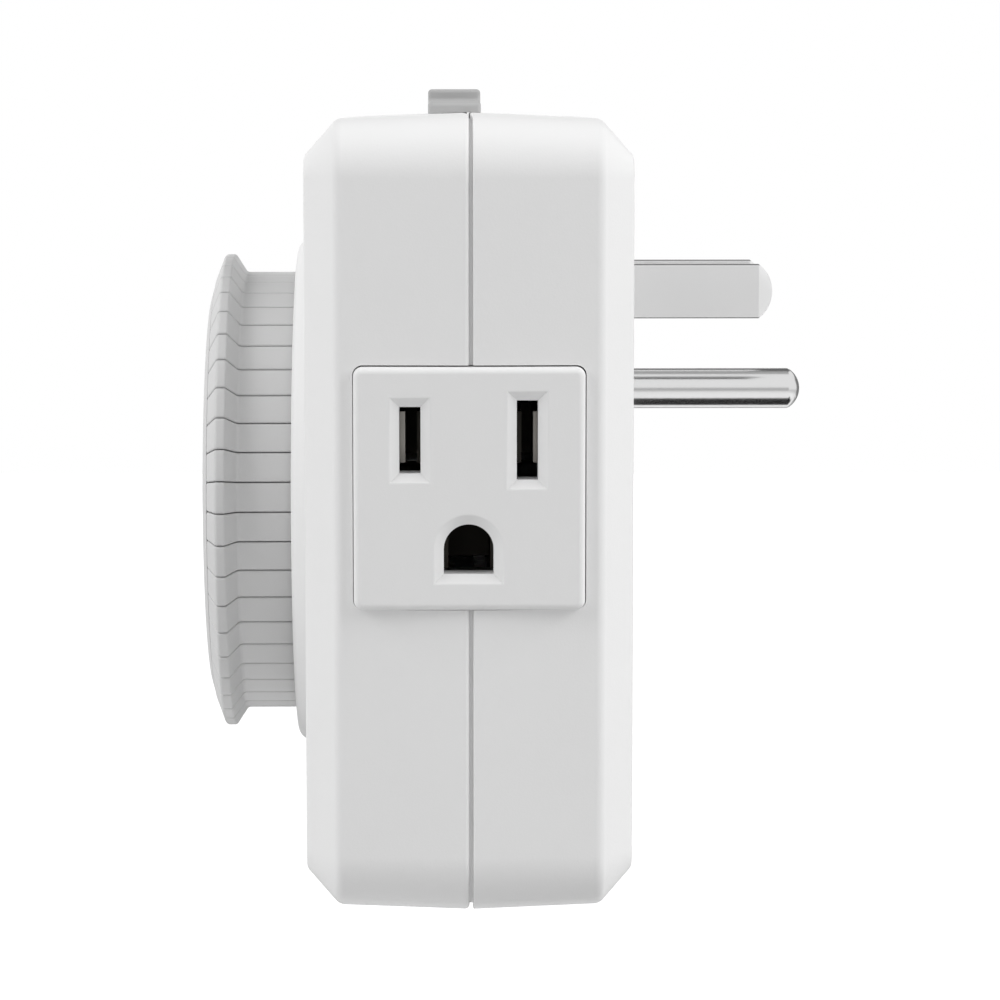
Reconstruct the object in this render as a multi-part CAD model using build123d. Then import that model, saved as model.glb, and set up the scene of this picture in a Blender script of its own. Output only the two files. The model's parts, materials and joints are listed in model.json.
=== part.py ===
from build123d import *
import math
import os

# Plug-in timer switch, in millimetres and degrees. The origin is the ground pin's axis where it
# leaves the rear face. +Z is up, +Y points into the wall socket, and the dial faces -Y.

# ---------------------------------------------------------------- driving dimensions
# case
case_width = 88.0
case_height = 88.0
case_depth = 36.0
pin_below_top = 32.8
parting_depth = 18.0
wall = 2.2
corner_radius = 7.0
draft = 2.3
bevel_depth = 3.6
bevel_width = 4.1
edge_round = 0.8
seam_gap = 0.4
seam_depth = 0.55
tongue_wall = 0.8
tongue_height = 1.5
fit_gap = 0.05
# standard three-pin plug and socket
blade_spacing = 12.7
blade_above_pin = 11.9
blade_width = 6.35
blade_thickness = 1.52
blade_length = 17.9
blade_tip = 1.6
blade_tip_thickness = 0.9
pin_radius = 2.4
pin_length = 21.8
pin_dome = 1.4
pin_collar = 0.4
# receptacle faces
face_width = 25.2
face_height = 26.4
face_proud = 0.8
face_plate = 3.4
face_corner = 1.0
face_edge = 0.6
face_gap = 0.2
lip_ends = 2.0
lip_sides = 0.5
lip_thickness = 1.3
lip_gap = 0.15
face_below_pin = 7.6
slot_thickness = 2.2
short_slot = 7.0
tall_slot = 8.6
slot_above_face_centre = 5.15
ground_hole_radius = 2.65
ground_below_face_centre = 6.7
ground_hole_flat = 2.6
sink_margin = 1.4
sink_depth = 0.9
# contact bars
bar_thickness = 0.8
bar_height = 3.6
jaw_depth = 12.0
jaw_height = 5.6
jaw_leaf = 0.6
jaw_gap = 1.3
ground_jaw_gap = 4.6
jaw_web = 0.6
jaw_clear = 0.8
live_bar_lift = 1.0
neutral_bar_gap = 3.2
ground_bar_gap = 3.75
leg_width = 3.0
# dial and trippers
dial_below_pin = 12.1
tripper_count = 48
trippers_in_hour = 2
shank_radius = 26.0
shank_wall = 1.3
flange_reach = 2.1
flange_land = 1.1
flange_back = 1.35
tripper_bevel = 1.05
tripper_bevel_width = 2.8
tripper_travel = 3.0
tripper_gap = 0.2
tongue_width = 1.6
tongue_reach = 2.1
tongue_short = 1.5
slide_gap = 0.1
dial_front = 12.2
dial_rim = 0.5
rim_round = 0.25
dial_plate = 1.3
dial_rim_over = 0.2
shank_front_drop = 0.6
shank_end = 2.0
drum_wall = 4.0
drum_floor = 1.6
drum_rise = 0.8
hub_wall = 1.9
boss_width = 3.5
boss_bulge = 0.3
boss_height = 2.3
boss_flat = 1.1
boss_drop = 0.8
dial_clearance = 0.4
post_radius = 3.1
post_step = 0.4
post_shoulder = 0.5
post_socket_depth = 8.0
post_socket_wall = 2.0
cap_radius = 9.0
cap_thickness = 0.7
cap_gap = 0.2
cap_round = 0.35
cap_stem_radius = 4.0
cap_pin_radius = 1.6
cap_pin_length = 5.0
pointer_width = 2.4
pointer_height = 0.3
pointer_inset = 1.2
# gears
train_module = 0.3
train_teeth = (60, 60, 64, 64, 64)
pinion_teeth = 8
train_bearings = (0.0, 180.0, 0.0, 54.0, -33.0)
dial_module = 0.35
dial_teeth = 120
clutch_bearing = 242.7
tooth_slack = 0.24
root_share = 0.9
wheel_addendum = 0.75
pinion_addendum = 0.85
dedendum = 1.25
wheel_slope = 0.3
pinion_slope = 0.15
wheel_thickness = 1.2
wheel_hole_radius = 2.0
wheel_hole_place = 5.4
wheel_holes = 4
level_pitch = 1.7
level_gap = 0.8
arbor_radius = 0.45
running_gap = 0.03
plate_thickness = 1.2
plate_width = 53.4
plate_height = 25.0
plate_corner = 3.0
plate_shift = (3.1, -17.7)
movement_gap = 3.0
pillar_inset = 3.2
pillar_radius = 2.2
spring_thickness = 0.4
spring_radius = 3.0
clutch_flange = 0.6
clutch_flange_radius = 3.4
sleeve_radius = 1.9
sleeve_gap = 0.1
ring_gear_width = 2.0
ring_gear_rim = 2.5
mesh_end_gap = 0.3
# motor
can_radius = 12.0
can_wall = 0.8
can_gap = 0.8
claw_count = 24
claw_radius = 6.7
claw_wall = 0.6
claw_fill = 0.6
claw_end_gap = 1.0
rotor_radius = 5.6
rotor_end_gap = 0.6
bobbin_bore = 7.0
bobbin_wall = 0.6
bobbin_radius = 10.9
bobbin_end_gap = 0.4
winding_radius = 10.2
# switch
rivet_radius = 1.5
rivet_height = 1.0
contact_gap = 1.0
leaf_thickness = 0.3
leaf_width = 5.0
leaf_height = 18.0
leaf_foot_gap = 0.1
leaf_overlap = 4.0
contact_below_leaf_top = 2.0
lever_width = 6.0
lever_thickness = 1.8
lever_stand = 2.6
nose_reach = 2.0
nose_round = 0.5
pivot_below_keeper = 6.4
lever_tail = 4.5
lever_tip_gap = 0.1
nose_width = 3.0
nub_below_pivot = 5.5
nub_radius = 0.8
nub_gap = 0.15
trunnion_radius = 1.0
trunnion_inset = 0.3
riser_width = 6.0
web_trim = 1.0
web_gap = 0.6
base_width = 18.0
base_wall = 1.8
base_foot = 2.8
cheek_wall = 1.6
cheek_above_pivot = 2.7
cheek_front = 1.6
support_radius = 2.0
# override slider
slider_behind_seam = 1.55
slider_depth = 6.2
slider_length = 13.0
slider_base = 1.5
slider_rise = 3.0
slider_rib = 2.4
slider_round = 0.3
slider_travel = 4.0
slider_gap = 0.1
stem_depth = 3.0
stem_length = 4.0
keeper_lead = 0.15
keeper_length = 16.0
keeper_thickness = 1.2
keeper_drop = 0.5
foot_length = 3.0
foot_depth = 1.0
foot_gap = 0.2
foot_rise = 0.3
foot_clear = 1.0
# fasteners and supports
screw_inset = 8.0
screw_radius = 1.5
screw_head_radius = 2.8
screw_head_height = 2.0
screw_head_gap = 0.2
screw_sink = 6.0
screw_bite = 10.0
tower_radius = 3.8
tube_wall = 1.5
cross_width = 0.8
cross_depth = 1.1
cross_reach = 3.2
head_round = 0.7
small_screw_radius = 1.0
small_head_radius = 1.9
small_head_height = 1.2
small_screw_bite = 6.0
small_head_round = 0.4
rib_thickness = 3.0
rib_from_centre = 17.0
rib_inset = 0.6
sunk_joint = 0.2
screw_end_gap = 1.0
post_foot_room = 2.0
# how far a cut runs on past the surface that it opens
cut_run = 1.0

# ---------------------------------------------------------------- planes and places
front_face = -case_depth
seam = -parting_depth
front_depth = case_depth - parting_depth
draft_slope = math.tan(math.radians(draft))
bevel_angle = math.degrees(math.atan2(bevel_width, bevel_depth))
hollow_step = wall * math.tan(math.radians(bevel_angle / 2))
inner_rear = -wall
inner_front = front_face + wall
case_top = pin_below_top
case_bottom = case_top - case_height
case_mid = (case_top + case_bottom) / 2
half_width = case_width / 2
dial_z = -dial_below_pin
blade_x = blade_spacing / 2

bore_radius = shank_radius + dial_clearance
boss_radius = bore_radius + boss_width
flange_radius = shank_radius + flange_reach
boss_face = front_face - boss_height
dial_face_front = front_face - dial_front
rim_back = dial_face_front + dial_rim
tripper_front = dial_face_front + shank_front_drop
land_front = tripper_front + tripper_bevel
shank_rear = front_face + shank_end
drum_radius = shank_radius - shank_wall - slide_gap
drum_inner = drum_radius - drum_wall
drum_rear = shank_rear + drum_rise + drum_floor
hub_radius = post_radius + running_gap + hub_wall
gear_rear = drum_rear + ring_gear_width
pushed_end = shank_rear + tripper_travel
shank_inner = shank_radius - shank_wall
pitch_angle = 360.0 / tripper_count
hour_count = tripper_count // trippers_in_hour

slot_z = -face_below_pin + slot_above_face_centre
ground_z = -face_below_pin - ground_below_face_centre
outer_face = half_width + face_proud
lip_outer = half_width - wall - lip_gap - (face_width / 2 + lip_sides) * draft_slope
block_inner = lip_outer - lip_thickness
jaw_mouth = block_inner - jaw_clear
jaw_root = jaw_mouth - jaw_depth
live_y = seam - blade_spacing / 2
neutral_y = seam + blade_spacing / 2
live_bar_z = slot_z + live_bar_lift
neutral_bar_z = slot_z + (jaw_height + bar_height) / 2 + neutral_bar_gap
ground_bar_z = ground_z + ground_hole_radius + bar_height / 2 + ground_bar_gap

pinion_front = drum_rear + mesh_end_gap
front_plate_front = gear_rear + movement_gap
front_plate_rear = front_plate_front + plate_thickness
flange_front = front_plate_rear + spring_thickness
clutch_front = flange_front + clutch_flange + spring_thickness
last_level = len(train_teeth) - 1
level_start = clutch_front + wheel_thickness + level_pitch * last_level
plate_rear = level_start + level_gap + plate_thickness
can_rear = inner_rear - can_gap
can_length = can_rear - plate_rear
claw_length = can_length - 2 * can_wall - claw_end_gap
rotor_length = can_length - 2 * (can_wall + rotor_end_gap)
bobbin_length = can_length - 2 * (can_wall + bobbin_end_gap)

keeper_top = case_top - wall - keeper_drop
keeper_bottom = keeper_top - keeper_thickness
lever_nose_z = dial_z + shank_radius - shank_wall / 2
pivot_z = keeper_bottom - pivot_below_keeper
lever_tip = pushed_end + lever_tip_gap
pivot_y = lever_tip + nose_reach + lever_thickness / 2
leaf_front = pivot_y + lever_thickness / 2 + lever_stand
leaf_rear = leaf_front + leaf_thickness
leaf_y = (leaf_front + leaf_rear) / 2
leaf_top = pivot_z + leaf_overlap
leaf_foot_z = leaf_top - leaf_height
riser_top = leaf_foot_z - leaf_foot_gap
base_low = leaf_foot_z - base_foot
contact_z = leaf_top - contact_below_leaf_top
fixed_strip_front = leaf_rear + 2 * rivet_height + contact_gap
base_front = fixed_strip_front + bar_thickness
slider_y = seam - slider_behind_seam
screw_x = half_width - screw_inset
screw_zs = (case_top - screw_inset, case_bottom + screw_inset)
plate_x = plate_shift[0]
plate_z = dial_z + plate_shift[1]


# ---------------------------------------------------------------- helpers
def slab(outline, rear, front):
    """A flat piece cut to an outline in X and Z, from the plane Y=rear forward to Y=front."""
    return extrude(Plane((0, rear, 0), (1, 0, 0), (0, -1, 0)) * outline, rear - front)


def block(x, y, z):
    """A box between two limits in each direction."""
    size = [abs(b - a) for a, b in (x, y, z)]
    return Pos(*[(a + b) / 2 for a, b in (x, y, z)]) * Box(*size)


def disc(radius, x=0.0, z=0.0):
    return Pos(x, z) * Circle(radius)


def rod(radius, x, z, rear, front):
    return slab(disc(radius, x, z), rear, front)


def tube(outer, inner, x, z, rear, front):
    return slab(disc(outer, x, z) - disc(inner, x, z), rear, front)


def save(name, *solids):
    """Writes one node, a single solid or a group of separate ones."""
    flat = [s for shape in solids for s in shape.solids()]
    shape = flat[0] if len(flat) == 1 else Compound(children=flat)
    export_step(shape, os.path.join("parts", name + ".step"))


def mirrored(shape):
    return mirror(shape, Plane.YZ)


def gear_outline(teeth, module, addendum, slope, phase, x, z):
    """A gear with straight-flanked teeth. The phase turns one tooth to that bearing."""
    pitch_radius = teeth * module / 2
    half_tooth = math.pi * module / 4 * (1 - tooth_slack)
    root = pitch_radius - dedendum * module
    tip = pitch_radius + addendum * module
    root_half = min(half_tooth + slope * dedendum * module, root_share * math.pi * root / teeth)
    tip_half = half_tooth - slope * addendum * module
    corners = []
    for tooth in range(teeth):
        middle = math.radians(phase) + tooth * 2 * math.pi / teeth
        for radius, half in ((root, -root_half), (tip, -tip_half), (tip, tip_half), (root, root_half)):
            angle = middle + half / radius
            corners.append((x + radius * math.cos(angle), z + radius * math.sin(angle)))
    return make_face(Polyline(*corners, close=True))


def wheel_outline(teeth, module, phase, x, z):
    return gear_outline(teeth, module, wheel_addendum, wheel_slope, phase, x, z)


def pinion_outline(module, phase, x, z):
    return gear_outline(pinion_teeth, module, pinion_addendum, pinion_slope, phase, x, z)


def step_from(place, distance, bearing):
    angle = math.radians(bearing)
    return place[0] + distance * math.cos(angle), place[1] + distance * math.sin(angle)


def meshed_phase(bearing, teeth, other_teeth, other_phase):
    """The phase that puts a gear's gap where the other gear's tooth is, along the bearing to it."""
    part = (bearing - other_phase) / (360.0 / other_teeth)
    return bearing + 180.0 - (0.5 - part) * 360.0 / teeth


# ---------------------------------------------------------------- case
def case_outline(distance, inset):
    """The case's section at a distance from the seam, drawn in by the draft and an inset."""
    drawn = 2 * (distance * draft_slope + inset)
    return Pos(0, case_mid) * RectangleRounded(
        case_width - drawn, case_height - drawn, corner_radius - drawn / 2
    )


def case_half(depth, straight, direction, inset):
    """One half of the case's outer form, or of its hollow when there is an inset."""
    plane = Plane((0, seam, 0), (1, 0, 0), (0, -1, 0))
    if direction > 0:
        plane = Plane((0, seam, 0), (-1, 0, 0), (0, 1, 0))
    body = extrude(plane * case_outline(0, inset), straight, taper=draft)
    end = plane.offset(straight) * case_outline(straight, inset)
    return body + extrude(end, depth - straight, taper=bevel_angle)


def case_shell(depth, direction, face):
    """One shell: the outer form, its front or rear edge rounded, less a hollow an even wall inside."""
    straight = depth - bevel_depth
    outer = rounded(case_half(depth, straight, direction, 0), face, edge_round)
    return outer - case_half(depth - wall, straight - hollow_step, direction, wall)


def seam_ring(rear, front, inner_inset):
    """The outer skin of the wall between two planes, which the seam groove takes away."""
    return slab(case_outline(0, -cut_run) - case_outline(0, inner_inset), rear, front)


def tongue(inner, outer, front, rear):
    return slab(case_outline(0, inner) - case_outline(0, outer), rear, front)


def rounded(shape, plane_y, radius):
    """Rounds the outline edges that lie in one plane of Y."""
    return fillet(shape.edges().filter_by_position(Axis.Y, plane_y, plane_y), radius)


def face_window(side):
    """The hole in the case's side that a receptacle face stands in."""
    y = face_width / 2 + face_gap
    z = face_height / 2 + face_gap
    near, far = half_width - 3 * wall, half_width + cut_run
    x = (near, far) if side > 0 else (-far, -near)
    return block(x, (seam - y, seam + y), (-face_below_pin - z, -face_below_pin + z))


def slider_slot():
    y = stem_depth / 2 + slider_gap
    x = (stem_length + slider_travel) / 2 + slider_gap
    return block((-x, x), (slider_y - y, slider_y + y), (case_top - 2 * wall, case_top + cut_run))


def corner_places():
    return [(x, z) for x in (-screw_x, screw_x) for z in screw_zs]


def front_housing():
    shell = case_shell(front_depth, -1, front_face)
    shell -= seam_ring(seam, seam - seam_gap / 2, seam_depth)
    shell += boss_ring()
    shell -= rod(bore_radius, 0, dial_z, seam, boss_face - cut_run)
    shell -= face_window(1) + face_window(-1) + slider_slot()
    shell += tongue(wall - tongue_wall, wall, seam, seam + tongue_height)
    shell -= face_window(1) + face_window(-1)
    for x, z in corner_places():
        shell += rod(tower_radius, x, z, seam, inner_front - sunk_joint)
    for x, z in corner_places():
        shell -= rod(screw_radius, x, z, seam, seam - screw_bite)
    return shell


def boss_ring():
    """The round boss on the front face, its outer shoulder falling in a soft curve."""
    flat_end = bore_radius + boss_flat
    shoulder = boss_face + boss_drop
    top = Line((bore_radius - cut_run, boss_face), (flat_end, boss_face))
    curve = SagittaArc((flat_end, boss_face), (boss_radius, shoulder), -boss_bulge)
    side = Polyline((boss_radius, shoulder), (boss_radius, inner_front), (bore_radius - cut_run, inner_front),
                    (bore_radius - cut_run, boss_face))
    return Pos(0, 0, dial_z) * revolve(make_face(top + curve + side), Axis.Y)


def rear_housing():
    shell = case_shell(parting_depth, 1, 0)
    shell -= seam_ring(seam + seam_gap / 2, seam, seam_depth)
    shell -= tongue(wall - tongue_wall - fit_gap, wall + cut_run, seam, seam + tongue_height + fit_gap)
    shell -= face_window(1) + face_window(-1)
    for x, z in corner_places():
        shell += rod(screw_head_radius + screw_head_gap + tube_wall, x, z, inner_rear + sunk_joint, seam)
    for solid in rear_supports():
        shell += solid
    for x, z in corner_places():
        shell -= rod(screw_radius + fit_gap, x, z, cut_run, seam - cut_run)
        shell -= rod(screw_head_radius + screw_head_gap, x, z, cut_run, -screw_sink)
    for x, z in pillar_places():
        shell -= rod(small_screw_radius, x, z, plate_rear + small_screw_bite, plate_rear - cut_run)
    shell -= rod(post_radius + post_step, 0, dial_z, inner_rear, -post_socket_depth - post_foot_room)
    for x in (-blade_x, blade_x):
        blade_hole = Pos(x, blade_above_pin) * Rectangle(blade_thickness, blade_width)
        shell -= slab(blade_hole, cut_run, inner_rear - cut_run)
    return shell - rod(pin_radius + pin_collar, 0, 0, cut_run, inner_rear - cut_run)


def rear_supports():
    """Posts and ribs that stand on the inside of the rear wall and carry the inner pieces."""
    foot = inner_rear + sunk_joint
    posts = [rod(pillar_radius, x, z, foot, plate_rear) for x, z in pillar_places()]
    posts.append(rod(post_radius + post_step + post_socket_wall, 0, dial_z, foot, -post_socket_depth))
    for x in (-rib_from_centre, rib_from_centre):
        posts.append(rib(x, neutral_bar_z, foot, neutral_y + bar_thickness / 2))
        posts.append(rib(x, ground_bar_z, foot, seam + bar_thickness / 2))
        posts.append(rib(x, live_bar_z, foot, live_y + bar_thickness / 2))
    base_x = base_width / 2 - support_radius
    posts += [rod(support_radius, x, pivot_z, foot, base_front + base_wall) for x in (-base_x, base_x)]
    return posts


def rib(x, z, rear, front):
    height = bar_height - rib_inset
    return slab(Pos(x, z) * Rectangle(rib_thickness, height), rear, front)


def cross(x, z, rear, front):
    arms = Rectangle(cross_reach, cross_width) + Rectangle(cross_width, cross_reach)
    return slab(Pos(x, z) * arms, rear, front)


def screw(radius, head_radius, head_height, head_edge, x, z, head_front, tip, direction):
    """A pan-head screw. Its head's seat is at head_front and the shank runs on to the tip."""
    head_end = head_front - direction * head_height
    shank = rod(radius, x, z, max(head_front, tip), min(head_front, tip))
    head = rod(head_radius, x, z, max(head_front, head_end), min(head_front, head_end))
    head = rounded(head, head_end, head_edge)
    depth = direction * cross_depth
    return shank + head - cross(x, z, max(head_end, head_end + depth), min(head_end, head_end + depth))


def housing_screws():
    tip = seam - screw_bite + screw_end_gap
    return [screw(screw_radius, screw_head_radius, screw_head_height, head_round, x, z, -screw_sink, tip, -1)
            for x, z in corner_places()]


# ---------------------------------------------------------------- receptacle faces
def slot_outline(y, z, width, height):
    return Pos(y, z) * Rectangle(width, height)


def ground_outline(radius, flat):
    """A hole with a round top and a flat bottom, about the ground hole's centre."""
    top = ThreePointArc((-radius, 0), (0, radius), (radius, 0))
    bottom = Polyline((radius, 0), (radius, -flat), (-radius, -flat), (-radius, 0))
    return make_face(top + bottom)


def sunk(outer, inner):
    """A soft funnel from the plate's face down to the hole's own size."""
    return loft([Plane.XY * outer, Plane.XY.offset(-sink_depth) * inner], ruled=True)


def receptacle_face():
    """The right-hand socket insert, drawn flat and then stood on the case's side."""
    plate = Rectangle(face_width, face_height)
    plate = fillet(plate.vertices(), face_corner)
    lip = Rectangle(face_width + 2 * lip_sides, face_height + 2 * lip_ends)
    depth = outer_face - block_inner
    body = fillet(extrude(plate, -face_plate).faces().sort_by(Axis.Z)[-1].edges(), face_edge)
    body += Pos(0, 0, -depth) * extrude(plate, depth - face_plate)
    body += Pos(0, 0, -depth) * extrude(lip, lip_thickness)
    sinks = []
    for side, height in ((-1, short_slot), (1, tall_slot)):
        y = side * blade_spacing / 2
        z = slot_above_face_centre
        inner = slot_outline(y, z, slot_thickness, height)
        wide = slot_outline(y, z, slot_thickness + 2 * sink_margin, height + 2 * sink_margin)
        sinks.append(sunk(wide, inner))
        sinks.append(extrude(inner, -depth - cut_run))
    drop = Pos(0, -ground_below_face_centre)
    inner = ground_outline(ground_hole_radius, ground_hole_flat)
    wide = ground_outline(ground_hole_radius + sink_margin, ground_hole_flat + sink_margin)
    sinks += [sunk(drop * wide, drop * inner), extrude(drop * inner, -depth - cut_run)]
    for cut in sinks:
        body -= cut
    return Plane((outer_face, seam, -face_below_pin), (0, 1, 0), (1, 0, 0)) * body


# ---------------------------------------------------------------- plug and contact bars
def blade(x):
    """A flat plug blade with a round tip, running in to its contact strip."""
    rear = neutral_y + bar_thickness / 2
    straight = blade_length - blade_tip
    half = blade_width / 2
    sides = Polyline((straight, half), (rear, half), (rear, -half), (straight, -half))
    tip = ThreePointArc((straight, -half), (blade_length, 0), (straight, half))
    plane = Plane((x - blade_thickness / 2, 0, blade_above_pin), (0, 1, 0), (1, 0, 0))
    body = plane * extrude(make_face(sides + tip), blade_thickness)
    thick, thin = blade_thickness / 2, blade_tip_thickness / 2
    taper = Polyline((-thick, rear), (-thick, straight), (-thin, blade_length), (thin, blade_length),
                     (thick, straight), (thick, rear), close=True)
    return body & Pos(x, 0, blade_above_pin - half) * extrude(make_face(taper), blade_width)


def ground_pin():
    """The round pin, domed at its tip, with a thicker shank inside the case."""
    start = pin_length - pin_dome
    inner = seam + bar_thickness / 2
    collar = pin_radius + pin_collar
    sides = Polyline((0, pin_length), (0, inner), (collar, inner), (collar, 0), (pin_radius, 0),
                     (pin_radius, start))
    ball = (pin_radius**2 + pin_dome**2) / (2 * pin_dome)
    middle = (pin_radius / 2, pin_length - ball + math.sqrt(ball**2 - pin_radius**2 / 4))
    dome = ThreePointArc((pin_radius, start), middle, (0, pin_length))
    return revolve(make_face(sides + dome), Axis.Y)


def jaw(y, z, gap, height):
    """A pair of spring leaves on a web, open towards the right-hand receptacle face."""
    span = gap / 2 + jaw_leaf
    leaves = block((jaw_root, jaw_mouth), (y - span, y - gap / 2), (z - height / 2, z + height / 2))
    leaves += block((jaw_root, jaw_mouth), (y + gap / 2, y + span), (z - height / 2, z + height / 2))
    web = block((jaw_root - jaw_web, jaw_root), (y - span, y + span), (z - height / 2, z + height / 2))
    return leaves + web


def strip(x, y, z):
    """A flat stretch of brass bar, its face square to Y."""
    return block(x, (y - bar_thickness / 2, y + bar_thickness / 2), z)


def bar(y, jaw_z, gap, height, low, high):
    """A straight bar between two jaws, with a leg at each end where the bar runs at another height."""
    root = jaw_root - jaw_web
    right = jaw(y, jaw_z, gap, height)
    leg_low, leg_high = min(low, jaw_z - height / 2), max(high, jaw_z + height / 2)
    right += strip((root - leg_width, root), y, (leg_low, leg_high))
    return strip((-root, root), y, (low, high)) + right + mirrored(right)


def live_bar():
    half = bar_height / 2
    x = (-riser_width / 2, riser_width / 2)
    turn = (base_low - web_gap - bar_thickness, base_low - web_gap)
    step = (min(live_y, leaf_y) - bar_thickness / 2, max(live_y, leaf_y) + bar_thickness / 2)
    body = bar(live_y, slot_z, jaw_gap, jaw_height, live_bar_z - half, live_bar_z + half)
    body += strip(x, live_y, (slot_z, turn[1]))
    return body + block(x, step, turn) + strip(x, leaf_y, (turn[0], riser_top))


def neutral_bar():
    half = bar_height / 2
    body = bar(neutral_y, slot_z, jaw_gap, jaw_height, neutral_bar_z - half, neutral_bar_z + half)
    tab_z = (neutral_bar_z, blade_above_pin + blade_width / 2)
    return body + strip((-blade_x - riser_width / 2, -blade_x + riser_width / 2), neutral_y, tab_z)


def ground_bar():
    half = bar_height / 2
    height = ground_hole_radius + ground_hole_flat
    middle = ground_z + (ground_hole_radius - ground_hole_flat) / 2
    body = bar(seam, middle, ground_jaw_gap, height, ground_bar_z - half, ground_bar_z + half)
    return body + strip((-pin_radius, pin_radius), seam, (ground_bar_z, pin_radius))


# ---------------------------------------------------------------- switch
def fixed_contact():
    """The brass strip from the line blade round to the fixed contact rivet."""
    y = base_front - bar_thickness / 2
    low = blade_above_pin - riser_width / 2
    high = blade_above_pin + blade_width / 2 - web_trim
    outer = base_width / 2 + bar_thickness
    upright = strip((-leaf_width / 2, leaf_width / 2), y, (low, leaf_top))
    across = strip((-leaf_width / 2, outer), y, (low, high))
    back_y = neutral_y + bar_thickness / 2
    web = block((outer - bar_thickness, outer), (fixed_strip_front, back_y), (low, high))
    foot = strip((blade_x - riser_width / 2, outer), neutral_y, (low, high))
    rivet = rod(rivet_radius, 0, contact_z, fixed_strip_front, fixed_strip_front - rivet_height)
    return upright + across + web + foot + rivet


def contact_leaf():
    half = leaf_width / 2
    leaf = block((-half, half), (leaf_front, leaf_rear), (leaf_foot_z, leaf_top))
    return leaf + rod(rivet_radius, 0, contact_z, leaf_rear + rivet_height, leaf_rear)


def follower_lever():
    """A rocker on two trunnions: its nose stands behind the trippers, its nub before the leaf."""
    front = pivot_y - lever_thickness / 2
    rear = pivot_y + lever_thickness / 2
    nose_half = shank_wall / 2
    half = lever_width / 2
    body = block((-half, half), (front, rear), (lever_nose_z - nose_half, pivot_z + lever_tail))
    nose = block((-nose_width / 2, nose_width / 2), (lever_tip, rear),
                 (lever_nose_z - nose_half, lever_nose_z + nose_half))
    nose = fillet(nose.faces().sort_by(Axis.Y)[0].edges().filter_by(Axis.X), nose_round)
    nub_z = pivot_z - nub_below_pivot
    nub = block((-nose_width / 2, nose_width / 2), (rear, leaf_front - nub_gap),
                (nub_z - nub_radius, nub_z + nub_radius))
    reach = base_width / 2 - trunnion_inset
    pin = Pos(0, pivot_y, pivot_z) * Rot(0, 90, 0) * Cylinder(trunnion_radius, 2 * reach)
    return body + nose + nub + pin


def switch_base():
    """The insulating frame: back wall, foot, and two cheeks that hold the lever's trunnions."""
    half = base_width / 2
    top = pivot_z + cheek_above_pivot
    web_top = blade_above_pin + blade_width / 2 - web_trim
    back = block((-half, half), (base_front, base_front + base_wall), (base_low, top))
    foot_front = leaf_y + bar_thickness / 2
    foot = block((-half, half), (foot_front, base_front), (base_low, riser_top))
    frame = back + foot
    for side, bottom in ((-1, base_low), (1, web_top + web_gap)):
        x = (side * half, side * (half - cheek_wall))
        frame += block(x, (pivot_y - cheek_front, base_front), (bottom, top))
    hole = Cylinder(trunnion_radius + running_gap, base_width + 2 * cut_run)
    return frame - Pos(0, pivot_y, pivot_z) * Rot(0, 90, 0) * hole


def override_slider():
    """The thumb slider: base block and grip rib outside, stem through the wall, keeper inside."""
    middle = -slider_travel / 2
    y = (slider_y - slider_depth / 2, slider_y + slider_depth / 2)
    base_low = case_top + slider_gap
    half = slider_length / 2
    base = block((middle - half, middle + half), y, (base_low, case_top + slider_base))
    grip = block((middle - slider_rib / 2, middle + slider_rib / 2), y,
                 (base_low, case_top + slider_rise))
    base = fillet(base.faces().sort_by(Axis.Z)[-1].edges(), slider_round)
    grip = fillet(grip.faces().sort_by(Axis.Z)[-1].edges(), slider_round)
    stem_half = stem_length / 2
    stem = block((middle - stem_half, middle + stem_half),
                 (slider_y - stem_depth / 2, slider_y + stem_depth / 2), (keeper_top, case_top + slider_base))
    keeper_half = keeper_length / 2
    keeper_rear = slider_y + stem_depth / 2
    foot_front = pivot_y + lever_thickness / 2 + foot_gap
    keeper = block((middle - keeper_half, middle + keeper_half), (foot_front - keeper_lead, keeper_rear),
                   (keeper_bottom, keeper_top))
    foot_x = middle - lever_width / 2 - foot_length - foot_clear
    foot = block((foot_x, foot_x + foot_length), (foot_front, foot_front + foot_depth),
                 (pivot_z + cheek_above_pivot + foot_rise, keeper_top))
    return base + grip + stem + keeper + foot


# ---------------------------------------------------------------- movement
def train_places():
    """Each arbor's place and wheel phase, from the clutch arbor back to the rotor."""
    reach = (dial_teeth + pinion_teeth) * dial_module / 2
    places = [step_from((0.0, dial_z), reach, clutch_bearing)]
    for teeth, bearing in zip(reversed(train_teeth), train_bearings):
        distance = (teeth + pinion_teeth) * train_module / 2
        places.append(step_from(places[-1], distance, bearing))
    return places


def train_phases():
    """Wheel phases in the same order, so that each pinion is in mesh with the wheel it drives."""
    phases = [0.0]
    for teeth, bearing in zip(reversed(train_teeth), train_bearings):
        phases.append(meshed_phase(bearing, pinion_teeth, teeth, phases[-1]))
    return phases


def level(index):
    """The rear plane of one gear level. Level 0 lies next to the rear plate."""
    return level_start - index * level_pitch


def train_wheel(index, places, phases):
    """A wheel on its level with a pinion that reaches through the next level forward."""
    x, z = places[last_level - index]
    phase = phases[last_level - index]
    rear = level(index)
    front = rear - wheel_thickness
    wheel = slab(wheel_outline(train_teeth[index], train_module, phase, x, z), rear, front)
    for turn in range(wheel_holes):
        hole = step_from((x, z), wheel_hole_place, phase + 360.0 * turn / wheel_holes)
        wheel -= rod(wheel_hole_radius, *hole, rear + cut_run, front - cut_run)
    if index < last_level:
        pinion = pinion_outline(train_module, phase, x, z)
        wheel += slab(pinion, front, level(index + 1) - wheel_thickness)
    return wheel - rod(arbor_radius + running_gap, x, z, rear + cut_run, front - level_pitch - wheel_thickness)


def rotor_pinion(places, phases):
    x, z = places[-1]
    shaft = rod(arbor_radius, x, z, can_rear, level(0))
    return shaft + slab(pinion_outline(train_module, phases[-1], x, z), level(0), level(0) - wheel_thickness)


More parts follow.
